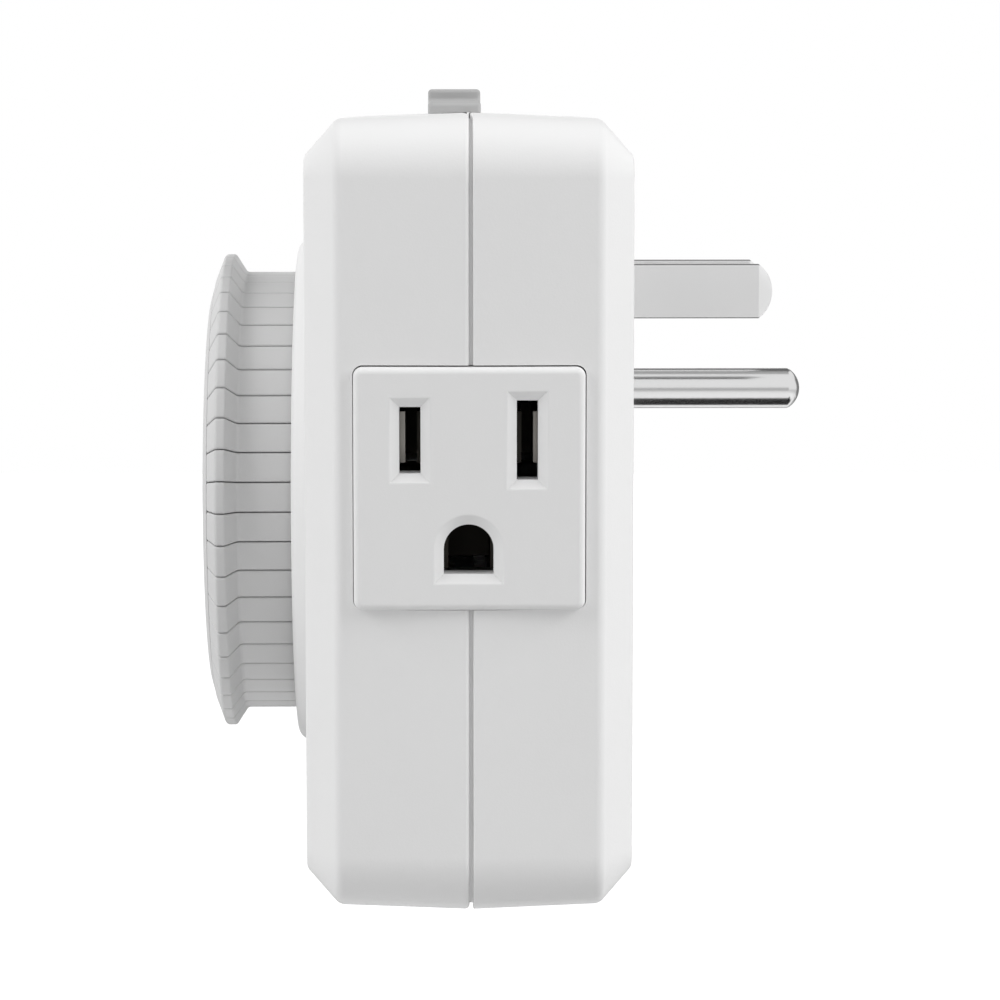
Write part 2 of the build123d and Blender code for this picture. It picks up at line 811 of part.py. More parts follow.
def clutch_pinion(places):
    x, z = places[0]
    phase = meshed_phase(clutch_bearing, pinion_teeth, dial_teeth, 0.0)
    body = rod(clutch_flange_radius, x, z, clutch_front - spring_thickness, flange_front)
    body += rod(sleeve_radius, x, z, flange_front, gear_rear + mesh_end_gap)
    body += slab(pinion_outline(dial_module, phase, x, z), gear_rear + mesh_end_gap, pinion_front)
    return body - rod(arbor_radius + running_gap, x, z, clutch_front, pinion_front - cut_run)


def clutch_spring(places):
    x, z = places[0]
    return tube(spring_radius, arbor_radius + sleeve_gap, x, z, clutch_front, clutch_front - spring_thickness)


def arbor_places(places):
    """The clutch arbor, the arbor it shares its wheels with in turn, and the first wheel's own."""
    return places[0], places[1], places[-2]


def gear_arbors(places):
    clutch, other, first = arbor_places(places)
    short_end = level(1) - wheel_thickness - running_gap
    return [rod(arbor_radius, *clutch, plate_rear, pinion_front),
            rod(arbor_radius, *other, plate_rear, front_plate_front),
            rod(arbor_radius, *first, plate_rear, short_end)]


def pillar_places():
    x = plate_width / 2 - pillar_inset
    z = plate_height / 2 - pillar_inset
    return [(plate_x + sx * x, plate_z + sz * z) for sx in (-1, 1) for sz in (-1, 1)]


def plate_outline(holes):
    outline = Pos(plate_x, plate_z) * RectangleRounded(plate_width, plate_height, plate_corner)
    for radius, place in holes:
        outline -= disc(radius, *place)
    return outline


def rear_plate(places):
    holes = [(arbor_radius, place) for place in arbor_places(places)]
    holes.append((arbor_radius + running_gap, places[-1]))
    holes += [(small_screw_radius, place) for place in pillar_places()]
    return slab(plate_outline(holes), plate_rear, plate_rear - plate_thickness)


def front_plate(places):
    holes = [(arbor_radius, places[1]), (sleeve_radius + sleeve_gap, places[0])]
    body = slab(plate_outline(holes), front_plate_rear, front_plate_front)
    for x, z in pillar_places():
        body += rod(pillar_radius, x, z, plate_rear - plate_thickness, front_plate_rear)
        body -= rod(small_screw_radius, x, z, 0, front_plate_front - cut_run)
    return body


def movement_screws():
    tip = plate_rear + small_screw_bite - screw_end_gap
    sizes = (small_screw_radius, small_head_radius, small_head_height, small_head_round)
    return [screw(*sizes, x, z, front_plate_front, tip, 1)
            for x, z in pillar_places()]


def claw(index, x, z, rear, front):
    """One claw pole, a short curved finger beside the rotor."""
    width = 360.0 / claw_count
    ring = tube(claw_radius, claw_radius - claw_wall, x, z, rear, front)
    reach = 2 * claw_radius
    half = width * claw_fill / 2
    far = [step_from((x, z), reach, index * width + side * half) for side in (-1, 1)]
    return ring & slab(make_face(Polyline((x, z), *far, close=True)), rear, front)


def motor_can(places):
    """The motor's steel cup, with every second claw pole folded up from its floor."""
    x, z = places[-1]
    floor = can_rear - can_wall
    can = rod(can_radius, x, z, can_rear, plate_rear)
    can -= rod(can_radius - can_wall, x, z, floor, plate_rear - cut_run)
    can = rounded(can, can_rear, can_wall)
    for index in range(0, claw_count, 2):
        can += claw(index, x, z, floor + can_wall / 2, floor - claw_length)
    return can - rod(arbor_radius + running_gap, x, z, can_rear + cut_run, floor - cut_run)


def stator_plate(places):
    """The motor's front pole plate, with the other claw poles folded back between the first ones."""
    x, z = places[-1]
    rear = plate_rear + can_wall
    plate = tube(can_radius - can_wall, claw_radius - claw_wall, x, z, rear, plate_rear)
    for index in range(1, claw_count, 2):
        plate += claw(index, x, z, rear + claw_length - can_wall, plate_rear)
    return plate


def bobbin_planes():
    middle = (can_rear - can_wall + plate_rear + can_wall) / 2
    return middle + bobbin_length / 2, middle - bobbin_length / 2


def coil_bobbin(places):
    x, z = places[-1]
    rear, front = bobbin_planes()
    spool = rod(bobbin_bore + bobbin_wall, x, z, rear, front)
    for start in (rear, front + bobbin_wall):
        spool += rod(bobbin_radius, x, z, start, start - bobbin_wall)
    return spool - rod(bobbin_bore, x, z, rear + cut_run, front - cut_run)


def coil_winding(places):
    x, z = places[-1]
    rear, front = bobbin_planes()
    return tube(winding_radius, bobbin_bore + bobbin_wall, x, z, rear - bobbin_wall, front + bobbin_wall)


def rotor_magnet(places):
    x, z = places[-1]
    middle = sum(bobbin_planes()) / 2
    return tube(rotor_radius, arbor_radius, x, z, middle + rotor_length / 2, middle - rotor_length / 2)


# ---------------------------------------------------------------- dial
def dial_wheel():
    """The drum that carries the trippers, with its ring gear behind and its hub on the post."""
    drum = rod(drum_radius, 0, dial_z, drum_rear, rim_back)
    drum -= rod(drum_inner, 0, dial_z, drum_rear - drum_floor, rim_back - cut_run)
    drum += rod(hub_radius, 0, dial_z, gear_rear + post_shoulder, rim_back + dial_plate - dial_rim)
    gear = wheel_outline(dial_teeth, dial_module, 0.0, 0, dial_z)
    inner = dial_teeth * dial_module / 2 - ring_gear_rim
    drum += slab(gear - disc(inner, 0, dial_z), gear_rear, drum_rear)
    slot_reach = shank_inner - tongue_reach - slide_gap
    for index in range(tripper_count):
        drum -= tongue_slot(index, slot_reach)
    return drum - rod(post_radius + running_gap, 0, dial_z, gear_rear + cut_run, rim_back - cut_run)


def tongue_slot(index, slot_reach):
    half = tongue_width / 2 + slide_gap
    cut = block((slot_reach, shank_radius), (rim_back - cut_run, gear_rear), (-half, half))
    return Pos(0, 0, dial_z) * Rot(0, -pitch_angle * (index + 0.5), 0) * cut


def tripper(index):
    """One half hour's tripper: a flanged tab, its shank, and the tongue that guides it."""
    land_rear = land_front + flange_land
    back_end = land_rear + flange_back
    bevel_start = flange_radius - tripper_bevel_width
    profile = Polyline(
        (shank_inner, tripper_front), (bevel_start, tripper_front), (flange_radius, land_front),
        (flange_radius, land_rear), (shank_radius, back_end), (shank_radius, shank_rear),
        (shank_inner, shank_rear), close=True)
    gap = math.degrees(tripper_gap / shank_radius)
    tab = revolve(make_face(profile), Axis.Y, pitch_angle - gap)
    tab = Rot(0, -(pitch_angle - gap) / 2, 0) * tab
    half = tongue_width / 2
    guide = block((shank_inner - tongue_reach, shank_inner + shank_wall / 2),
                  (tripper_front, shank_rear - tongue_short), (-half, half))
    return Pos(0, 0, dial_z) * Rot(0, -pitch_angle * (index + 0.5), 0) * (tab + guide)


def dial_face():
    """The numbered disc that closes the drum's front and keeps the trippers in."""
    rim_radius = shank_inner + dial_rim_over
    disc_body = rod(rim_radius, 0, dial_z, rim_back, dial_face_front)
    disc_body = rounded(disc_body, dial_face_front, rim_round)
    disc_body += rod(drum_inner - fit_gap, 0, dial_z, rim_back + dial_plate - dial_rim, rim_back)
    return disc_body - rod(cap_stem_radius + dial_clearance, 0, dial_z, 0, dial_face_front - cut_run)


def post_front():
    return rim_back + dial_plate - dial_rim - mesh_end_gap


def dial_post():
    shoulder = gear_rear + post_shoulder
    post = rod(post_radius + post_step, 0, dial_z, inner_rear, shoulder)
    post += rod(post_radius, 0, dial_z, shoulder, post_front())
    return post - rod(cap_pin_radius, 0, dial_z, post_front() + cap_pin_length, post_front() - cut_run)


def centre_cap():
    """The fixed cap at the dial's centre, with a raised pointer that shows the time now."""
    under = dial_face_front - cap_gap
    top = under - cap_thickness
    cap = rounded(rod(cap_radius, 0, dial_z, under, top), top, cap_round)
    cap += rod(cap_stem_radius, 0, dial_z, post_front(), under)
    cap += rod(cap_pin_radius, 0, dial_z, post_front() + cap_pin_length, post_front())
    tip = dial_z + cap_radius - pointer_inset
    low = dial_z - cap_radius / 2
    arrow = Polyline((-pointer_width / 2, low), (pointer_width / 2, low), (0, tip), close=True)
    return cap + slab(make_face(arrow), top, top - pointer_height)


# ---------------------------------------------------------------- all nodes
def main():
    os.makedirs("parts", exist_ok=True)
    places, phases = train_places(), train_phases()
    save("front_housing", front_housing())
    save("rear_housing", rear_housing())
    save("housing_screws", *housing_screws())
    right_face = receptacle_face()
    save("receptacle_face_right", right_face)
    save("receptacle_face_left", mirrored(right_face))
    save("line_blade", blade(blade_x))
    save("neutral_blade", blade(-blade_x))
    save("ground_pin", ground_pin())
    save("live_bar", live_bar())
    save("neutral_bar", neutral_bar())
    save("ground_bar", ground_bar())
    save("switch_base", switch_base())
    save("fixed_contact", fixed_contact())
    save("contact_leaf", contact_leaf())
    save("follower_lever", follower_lever())
    save("override_slider", override_slider())
    save("motor_stator", motor_can(places), stator_plate(places))
    save("coil_bobbin", coil_bobbin(places))
    save("coil_winding", coil_winding(places))
    save("rotor_magnet", rotor_magnet(places))
    save("rotor_pinion", rotor_pinion(places, phases))
    for index in range(last_level):
        save(f"train_wheel_{index + 1}", train_wheel(index, places, phases))
    save("clutch_wheel", train_wheel(last_level, places, phases))
    save("clutch_spring", clutch_spring(places))
    save("clutch_pinion", clutch_pinion(places))
    save("gear_arbors", *gear_arbors(places))
    save("rear_plate", rear_plate(places))
    save("front_plate", front_plate(places))
    save("movement_screws", *movement_screws())
    save("dial_wheel", dial_wheel())
    save("dial_face", dial_face())
    save("dial_post", dial_post())
    save("centre_cap", centre_cap())
    for hour in range(hour_count):
        first = hour * trippers_in_hour
        save(f"hour_{hour:02d}_trippers", *[tripper(first + n) for n in range(trippers_in_hour)])


main()
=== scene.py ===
# %% [markdown]
# # A plug-in timer switch, dressed in Blender
# The CAD model gives every part its place and size. This script gives the parts that can be seen
# their real surfaces: moulded shells with soft edges, a dial of forty-eight push-in tabs, socket
# faces with sunken slots and polished plug pins. Everything stays in the CAD model's own frame, in
# metres: +Z is up, +Y points into the wall socket and the dial faces -Y.

# %% Load the frame
import bpy
import bmesh
import json
import math
from mathutils import Matrix, Vector


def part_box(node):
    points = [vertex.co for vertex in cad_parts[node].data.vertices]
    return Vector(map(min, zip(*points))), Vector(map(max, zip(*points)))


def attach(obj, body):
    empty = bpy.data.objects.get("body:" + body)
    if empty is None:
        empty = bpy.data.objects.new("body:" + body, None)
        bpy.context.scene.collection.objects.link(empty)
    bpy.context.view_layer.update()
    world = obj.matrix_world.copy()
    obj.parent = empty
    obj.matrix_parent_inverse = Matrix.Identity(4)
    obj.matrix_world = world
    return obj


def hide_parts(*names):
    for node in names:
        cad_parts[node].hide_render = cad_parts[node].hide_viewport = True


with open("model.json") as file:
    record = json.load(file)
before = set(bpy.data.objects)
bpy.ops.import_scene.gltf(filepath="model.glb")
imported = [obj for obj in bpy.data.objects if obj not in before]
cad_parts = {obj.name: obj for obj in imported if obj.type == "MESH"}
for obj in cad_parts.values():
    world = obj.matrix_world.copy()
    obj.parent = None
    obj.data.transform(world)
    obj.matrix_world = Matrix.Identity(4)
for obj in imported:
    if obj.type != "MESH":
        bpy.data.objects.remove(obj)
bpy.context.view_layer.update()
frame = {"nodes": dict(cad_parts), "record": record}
mm = 0.001

# %% [markdown]
# ## Sizes taken from the frame
# The main sizes are read off the boxes of the CAD nodes. Those that a box can't tell, such as a
# wall's slope or an edge's rounding, are named in millimetres, as a drawing would give them.

# %% Read the main sizes
rear_low, rear_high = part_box("rear_housing")
disc_low, disc_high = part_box("dial_face")
socket_low, socket_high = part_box("receptacle_face_right")
seam_y = (socket_low.y + socket_high.y) / 2
case_half = (rear_high.x - rear_low.x) / 2
case_mid = (rear_high.z + rear_low.z) / 2
case_top = case_mid + case_half
dial_z = (disc_high.z + disc_low.z) / 2
seam_half = 0.2 * mm
shell_depth = 18.0 * mm
wall = 2.2 * mm
slot_offset = 6.35 * mm
print("case", round(2000 * case_half, 1), "mm wide, seam at y", round(1000 * seam_y, 2))

# %% [markdown]
# ## Helpers for rounded outlines
# Moulded plastic has no sharp corner. Each profile is drawn with plain corners first, and then
# each corner is swapped for an arc of its own radius. That keeps the drawing short, and one number
# says how soft an edge looks.


# %% Round the corners of a line
def softened(points, steps=6, closed=False):
    """Swaps the corners of a line for arcs. Each point is (a, b, radius)."""
    line = []
    count = len(points)
    for index, (a, b, radius) in enumerate(points):
        corner = Vector((a, b))
        at_end = not closed and index in (0, count - 1)
        if at_end or radius == 0:
            line.append(corner)
            continue
        before = (Vector(points[index - 1][:2]) - corner).normalized()
        after = (Vector(points[(index + 1) % count][:2]) - corner).normalized()
        half = before.angle(after) / 2
        centre = corner + (before + after).normalized() * radius / math.sin(half)
        start = corner + before * radius / math.tan(half) - centre
        end = corner + after * radius / math.tan(half) - centre
        turn = start.angle_signed(end)
        for step in range(steps + 1):
            line.append(centre + Matrix.Rotation(-turn * step / steps, 2) @ start)
    return line


def shrunk(outline, distance):
    """A closed outline moved inwards by a distance, corner by corner."""
    area = sum(a.x * b.y - b.x * a.y for a, b in zip(outline, outline[1:] + outline[:1]))
    side = 1 if area > 0 else -1
    moved = []
    for index, corner in enumerate(outline):
        before = (corner - outline[index - 1]).normalized()
        after = (outline[(index + 1) % len(outline)] - corner).normalized()
        middle = (before + after).normalized()
        inward = side * Vector((-middle.y, middle.x))
        moved.append(corner + inward * distance / max(0.5, middle.dot(before)))
    return moved


def quarter_turns(steps):
    """The angles of a quarter of a circle, in even steps."""
    return [math.pi / 2 * step / steps for step in range(steps + 1)]


square = softened([(0, 0, 1), (9, 0, 1), (9, 9, 1), (0, 9, 1)], closed=True)
print("a softened square has", len(square), "points")

# %% [markdown]
# ## Helpers for lofts
# Most parts here are lofts: a row of rings with the same number of points, joined by faces. A
# turned part is a loft of circles and a moulded bar is a loft of outlines. Joining the last ring
# to the first gives a closed wall, and capping both ends gives a solid.


# %% Build a mesh from rings
def lofted(rings, ends="capped"):
    """Corners and faces of a loft. The ends are capped, or joined to each other."""
    size = len(rings[0])
    corners = [Vector(point) for ring in rings for point in ring]
    faces = []
    pairs = list(zip(range(len(rings)), range(1, len(rings))))
    if ends == "joined":
        pairs.append((len(rings) - 1, 0))
    for low, high in pairs:
        for step in range(size):
            after = (step + 1) % size
            faces.append((low * size + step, low * size + after, high * size + after, high * size + step))
    if ends == "capped":
        faces.append(tuple(range(size)))
        faces.append(tuple((len(rings) - 1) * size + step for step in range(size)))
    return corners, faces


def circle(radius, y, centre, count):
    """A ring round an axis along Y."""
    turns = [2 * math.pi * step / count for step in range(count)]
    return [(centre[0] + radius * math.cos(t), y, centre[1] + radius * math.sin(t)) for t in turns]


def turned(line, centre=(0.0, 0.0), count=96, ends="capped"):
    """A turned shape round an axis along Y. Each point of its line is (radius, y)."""
    return lofted([circle(radius, y, centre, count) for radius, y in line], ends)


def along_x(rings):
    """A loft of outlines in Y and Z, each at an X of its own."""
    return lofted([[(x, point.x, point.y) for point in ring] for ring, x in rings])


def joined_shapes(shapes):
    """Several shapes put together as one list of corners and faces."""
    corners, faces = [], []
    for some_corners, some_faces in shapes:
        start = len(corners)
        corners += [Vector(c) for c in some_corners]
        faces += [tuple(start + index for index in face) for face in some_faces]
    return corners, faces


print("a turned triangle has", len(turned([(1, 0), (1, 1)], count=3)[1]), "faces")

# %% [markdown]
# ## From a shape to a piece
# A piece of the model is a mesh with a finish, hung on the body that it moves with. Faces that meet
# at a small angle are shaded as one smooth surface, and a larger angle stays a crease.

# %% Make a piece
crease_angle = 32
merge_distance = 1e-7


def new_object(name, data):
    """A new object in the scene."""
    obj = bpy.data.objects.new(name, data)
    bpy.context.scene.collection.objects.link(obj)
    return obj


def mesh_of(name, shape, merge=True):
    """A mesh of a shape, with its faces turned outwards and corners in one place merged."""
    mesh = bpy.data.meshes.new(name)
    mesh.from_pydata(shape[0], [], shape[1])
    work = bmesh.new()
    work.from_mesh(mesh)
    if merge:
        bmesh.ops.remove_doubles(work, verts=work.verts, dist=merge_distance)
    bmesh.ops.recalc_face_normals(work, faces=work.faces)
    work.to_mesh(mesh)
    work.free()
    return mesh


def smooth(obj, sharp=crease_angle):
    """Smooth shading, with creases where faces meet at more than an angle, and flats kept flat."""
    obj.data.shade_smooth()
    obj.data.set_sharp_from_angle(angle=math.radians(sharp))
    obj.modifiers.new("flats", "WEIGHTED_NORMAL").keep_sharp = True


def piece(name, shape, body, nodes, material, sharp=crease_angle):
    """Makes an object of a shape, gives it its finish, and hangs it on its CAD body."""
    obj = new_object(name, mesh_of(name, shape))
    obj.data.materials.append(material)
    smooth(obj, sharp)
    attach(obj, body)
    if nodes:
        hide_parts(*nodes)
    return obj


def cut(obj, shape, operation="DIFFERENCE"):
    """Cuts a shape out of an object, or joins it on, and applies the result."""
    tool = new_object("cutter", mesh_of("cutter", shape, merge=False))
    obj.modifiers.clear()
    modifier = obj.modifiers.new("cut", "BOOLEAN")
    modifier.operation = operation
    modifier.object = tool
    modifier.solver = "EXACT"
    bpy.context.view_layer.update()
    result = bpy.data.meshes.new_from_object(obj.evaluated_get(bpy.context.evaluated_depsgraph_get()))
    result.name = obj.data.name
    obj.modifiers.clear()
    obj.data = result
    bpy.data.objects.remove(tool)
    smooth(obj)


print("faces crease at", crease_angle, "degrees")

# %% [markdown]
# ## Finishes: shared effects
# Nothing real is one flat colour. Injection-moulded plastic has a fine spark-eroded grain and
# shallow waves where it cooled, and metal has drawing lines. Each effect is a node group with named
# inputs, so that every material can use it at its own scale.


# %% Helpers for nodes
def feed(tree, node, inputs):
    """Gives each input of a node a socket to follow or a value of its own."""
    for label, value in inputs.items():
        if isinstance(value, bpy.types.NodeSocket):
            tree.links.new(value, node.inputs[label])
        else:
            node.inputs[label].default_value = value


def add_node(tree, kind, inputs, **settings):
    """A new node, with its settings and its inputs."""
    node = tree.nodes.new(kind)
    for name, value in settings.items():
        setattr(node, name, value)
    feed(tree, node, inputs)
    return node


def mixed(tree, kind, amount, first, second):
    """A mix of two colours (RGBA) or of two numbers (FLOAT)."""
    inputs = {"Factor": amount, "A": first, "B": second}
    return add_node(tree, "ShaderNodeMix", inputs, data_type=kind).outputs["Result"]


def shaded_point(tree):
    """The place of the point that is being shaded, on the object itself."""
    return tree.nodes.new("ShaderNodeTexCoord").outputs["Object"]


def noise(tree, where, scale, detail):
    """A noise texture. Its scale is per metre."""
    inputs = {"Vector": where, "Scale": scale, "Detail": detail}
    return add_node(tree, "ShaderNodeTexNoise", inputs).outputs["Fac"]


def effect(name, inputs, outputs):
    """A new node group, with the sockets of its inputs and the node that takes its results."""
    group = bpy.data.node_groups.new(name, "ShaderNodeTree")
    for label, value in inputs.items():
        kind = "NodeSocketColor" if isinstance(value, tuple) else "NodeSocketFloat"
        group.interface.new_socket(label, in_out="INPUT", socket_type=kind).default_value = value
    for label, kind in outputs.items():
        group.interface.new_socket(label, in_out="OUTPUT", socket_type=kind)
    return group, group.nodes.new("NodeGroupInput").outputs, group.nodes.new("NodeGroupOutput")


# %% The grain of a moulded surface
def moulded_grain():
    """Fine grain over slow cooling waves, as a normal."""
    inputs = {"Grain per metre": 4200.0, "Grain depth": 0.00001,
              "Waves per metre": 60.0, "Wave depth": 0.00004}
    group, given, result = effect("moulded grain", inputs, {"Normal": "NodeSocketVector"})
    where = shaded_point(group)
    grain = noise(group, where, given["Grain per metre"], detail=2.0)
    waves = noise(group, where, given["Waves per metre"], detail=1.0)
    slow = add_node(group, "ShaderNodeBump", {"Height": waves, "Distance": given["Wave depth"]})
    fine = add_node(group, "ShaderNodeBump", {
        "Height": grain, "Distance": given["Grain depth"], "Normal": slow.outputs["Normal"]})
    feed(group, result, {"Normal": fine.outputs["Normal"]})
    return group


grain_effect = moulded_grain()
print("made the effect", grain_effect.name)

# %% [markdown]
# ## Uneven gloss and colour
# A pigment never mixes quite evenly, and handling leaves patches with more shine. One slow noise
# drives both. The group returns a colour between two given ones and a roughness between two values.


# %% Patches of colour and gloss
def patches():
    """Slow patches: a colour between two colours, and a roughness between two values."""
    inputs = {"Pale": (1.0, 1.0, 1.0, 1.0), "Deep": (0.9, 0.9, 0.9, 1.0), "Patches per metre": 45.0,
              "Low roughness": 0.35, "High roughness": 0.45}
    outputs = {"Color": "NodeSocketColor", "Roughness": "NodeSocketFloat"}
    group, given, result = effect("patches", inputs, outputs)
    amount = noise(group, shaded_point(group), given["Patches per metre"], detail=4.0)
    feed(group, result, {
        "Color": mixed(group, "RGBA", amount, given["Pale"], given["Deep"]),
        "Roughness": mixed(group, "FLOAT", amount, given["Low roughness"], given["High roughness"]),
    })
    return group


patch_effect = patches()
print("made the effect", patch_effect.name)

# %% [markdown]
# ## Drawn metal
# Strip and wire are drawn through a die, which leaves fine lines along their length, and plugs are
# scratched by the sockets they go into. Stretching a noise along one axis gives such lines.


# %% Lines along the length of drawn metal
def drawn_lines():
    """Fine lines along Y, as a normal."""
    inputs = {"Lines per metre": 2500.0, "Stretch": 0.02, "Line depth": 0.000004}
    group, given, result = effect("drawn lines", inputs, {"Normal": "NodeSocketVector"})
    along = add_node(group, "ShaderNodeCombineXYZ", {"X": 1.0, "Y": given["Stretch"], "Z": 1.0})
    stretched = add_node(group, "ShaderNodeVectorMath", {
        0: shaded_point(group), 1: along.outputs["Vector"]}, operation="MULTIPLY")
    lines = noise(group, stretched.outputs["Vector"], given["Lines per metre"], detail=3.0)
    bump = add_node(group, "ShaderNodeBump", {"Height": lines, "Distance": given["Line depth"]})
    feed(group, result, {"Normal": bump.outputs["Normal"]})
    return group


line_effect = drawn_lines()
print("made the effect", line_effect.name)

# %% [markdown]
# ## The plastics and the metals
# A plastic is the grain plus the patches. A metal is the drawn lines plus the patches. The shader
# itself, and every number that is the same all over, stays in the material.


# %% A new material with its shader
def material(name):
    """A new material, with its node tree and its Principled shader."""
    made = bpy.data.materials.new(name)
    made.use_nodes = True
    return made, made.node_tree, made.node_tree.nodes["Principled BSDF"]


def toned(tree, pale, deep, rough, per_metre=45.0):
    """The patches between two colours and two roughnesses, as a colour and a roughness."""
    inputs = {"Pale": pale, "Deep": deep, "Patches per metre": per_metre,
              "Low roughness": rough[0], "High roughness": rough[1]}
    return add_node(tree, "ShaderNodeGroup", inputs, node_tree=patch_effect).outputs


def finish(name, relief, depth, pale, deep, rough, metallic):
    """A material with patches, on the relief of another effect."""
    made, tree, shader = material(name)
    skin = add_node(tree, "ShaderNodeGroup", depth, node_tree=relief)
    tone = toned(tree, pale, deep, rough)
    feed(tree, shader, {"Base Color": tone["Color"], "Roughness": tone["Roughness"],
                        "Normal": skin.outputs["Normal"], "Metallic": metallic})
    return made


def grey(value, warmth=0.0):
    """A grey in linear light, a little warmer when the warmth is above zero."""
    return (value * (1 + warmth), value, value * (1 - warmth), 1.0)


# %% Plastic
def plastic(name, pale, deep, rough=(0.36, 0.44), grain=0.00001):
    """A moulded plastic between two colours."""
    return finish(name, grain_effect, {"Grain depth": grain}, pale, deep, rough, metallic=0.0)


white_plastic = plastic("white_plastic", grey(0.80), grey(0.77))
socket_plastic = plastic("socket_plastic", grey(0.79), grey(0.76), grain=0.000008)
tab_plastic = plastic("grey_plastic", grey(0.61), grey(0.58))
slider_plastic = plastic("slider_plastic", grey(0.42), grey(0.39))
dial_plastic = plastic("dial_plastic", grey(0.60), grey(0.57))
black_plastic = plastic("black_insulation", grey(0.03), grey(0.022))
acetal_plastic = plastic("acetal", grey(0.74, 0.03), grey(0.68, 0.04), rough=(0.3, 0.38))
plate_plastic = plastic("movement_plastic", grey(0.22), grey(0.18), rough=(0.45, 0.6))
ink = plastic("dial_ink", grey(0.05), grey(0.035), rough=(0.4, 0.5))
print("made", len(bpy.data.materials), "materials so far")


# %% Metal
def metal(name, pale, deep, rough, lines=0.000004):
    """A drawn or plated metal between two colours."""
    return finish(name, line_effect, {"Line depth": lines}, pale, deep, rough, metallic=1.0)


nickel = metal("nickel_brass", grey(0.74), grey(0.70), (0.17, 0.23), 0.0000008)
blade_nickel = metal("blade_nickel", grey(0.90), grey(0.86), (0.28, 0.34), 0.000002)
brass = metal("brass", (0.78, 0.60, 0.30, 1), (0.70, 0.50, 0.22, 1), (0.25, 0.38))
bronze = metal("spring_bronze", (0.74, 0.50, 0.30, 1), (0.62, 0.40, 0.22, 1), (0.25, 0.36))
steel = metal("plated_steel", grey(0.60), grey(0.52), (0.22, 0.34))
copper = metal("copper_winding", (0.62, 0.26, 0.12, 1), (0.50, 0.18, 0.08, 1), (0.25, 0.4), 0.00002)
print("made", len(bpy.data.materials), "materials")

# %% [markdown]
# ## A painted dark line on the blades' edges
# The blades' long edges get a painted dark reflection line: the plating's colour turns dark grey
# there. The height above the blade's middle line gives a mask for the edge.


# %% Helpers for masks
def coordinates(tree):
    """The X, Y and Z of the point that is being shaded."""
    return add_node(tree, "ShaderNodeSeparateXYZ", {"Vector": shaded_point(tree)}).outputs


def worked_out(tree, operation, *values):
    """The result of a calculation. Each value is a socket or a number."""
    return add_node(tree, "ShaderNodeMath", dict(enumerate(values)), operation=operation).outputs["Value"]


def ramp(tree, value, start, full):
    """A mask: nothing below the start, everything above the full value, and a slope between."""
    inputs = {"Value": value, "From Min": start, "From Max": full}
    return add_node(tree, "ShaderNodeMapRange", inputs).outputs["Result"]


# %% Paint a dark reflection line on the blades' long edges
blade_low, blade_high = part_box("line_blade")
blade_half = (blade_high.z - blade_low.z) / 2
blade_mid_z = (blade_high.z + blade_low.z) / 2
reflection_line_start = 0.945 * blade_half
reflection_line_full = 0.985 * blade_half
# Painted reflection: the dark grey that the blades' long edges are given.
painted_reflection_tone = grey(0.17)
blade_tree = blade_nickel.node_tree
blade_shader = blade_tree.nodes["Principled BSDF"]
rise = worked_out(blade_tree, "SUBTRACT", coordinates(blade_tree)["Z"], blade_mid_z)
painted_reflection_line = ramp(blade_tree, worked_out(blade_tree, "ABSOLUTE", rise), reflection_line_start, reflection_line_full)
plain_color = blade_shader.inputs["Base Color"].links[0].from_socket
feed(blade_tree, blade_shader, {"Base Color": mixed(blade_tree, "RGBA", painted_reflection_line, plain_color, painted_reflection_tone)})
print("darkened the blades' edges")

# %% [markdown]
# ## Contact strips
# The contacts behind the sockets are brass strips that no hand touches. Their colour holds painted
# shade: deep inside the slots the brass is made nearly black and rougher, and only the outer jaws'
# mouths keep a plain brass tone. The distance from the case's middle in X and from the seam in Y
# tell the two apart, so one mask drives both the colour and the roughness.

# %% Brass with painted shade, in a plain brass tone only at the jaws' mouths
unshaded_start = 38.0 * mm
unshaded_full = 39.1 * mm
contact, contact_tree, contact_shader = material("contact_brass")
point = coordinates(contact_tree)
unshaded_mouth = ramp(contact_tree, worked_out(contact_tree, "ABSOLUTE", point["X"]), unshaded_start, unshaded_full)
between = worked_out(contact_tree, "COMPARE", point["Y"], seam_y, slot_offset)
unshaded_mask = worked_out(contact_tree, "SUBTRACT", unshaded_mouth, between)
plain_brass_tone = toned(contact_tree, (0.50, 0.48, 0.44, 1), (0.38, 0.36, 0.33, 1), (0.3, 0.5), per_metre=400.0)
# Painted shade: the nearly black tone of the brass deep inside the slots.
painted_shade_tone = toned(contact_tree, (0.075, 0.07, 0.06, 1), (0.05, 0.045, 0.04, 1), (0.5, 0.7), per_metre=150.0)
feed(contact_tree, contact_shader, {
    "Base Color": mixed(contact_tree, "RGBA", unshaded_mask, painted_shade_tone["Color"], plain_brass_tone["Color"]),
    "Roughness": mixed(contact_tree, "FLOAT", unshaded_mask, painted_shade_tone["Roughness"], plain_brass_tone["Roughness"]),
    "Metallic": 1.0,
})
print("made", contact.name)

# %% [markdown]
# ## Ferrite
# The rotor's magnet is sintered ferrite: nearly black, matt and a little gritty, so the plastic
# recipe serves with a deeper grain.

# %% Ferrite, and the finish of every inner CAD node
ferrite = plastic("ferrite", grey(0.035), grey(0.025), rough=(0.6, 0.75), grain=0.00003)
slot_finish = {
    "white_plastic": white_plastic, "grey_plastic": tab_plastic, "dial_print": dial_plastic,
    "nickel_brass": nickel, "brass": brass, "spring_bronze": bronze, "black_insulation": black_plastic,
    "acetal": acetal_plastic, "plated_steel": steel, "copper_winding": copper, "ferrite": ferrite,
    "movement_plastic": plate_plastic,
}
for part in frame["record"]["subparts"]:
    node = frame["nodes"][part["node"]]
    node.data.materials.clear()
    # The contact bars take the brass with painted shade deep inside the slots.
    gets_painted_shade = part["node"] in ("live_bar", "neutral_bar", "ground_bar")
    node.data.materials.append(contact if gets_painted_shade else slot_finish[part["material_slot"]])

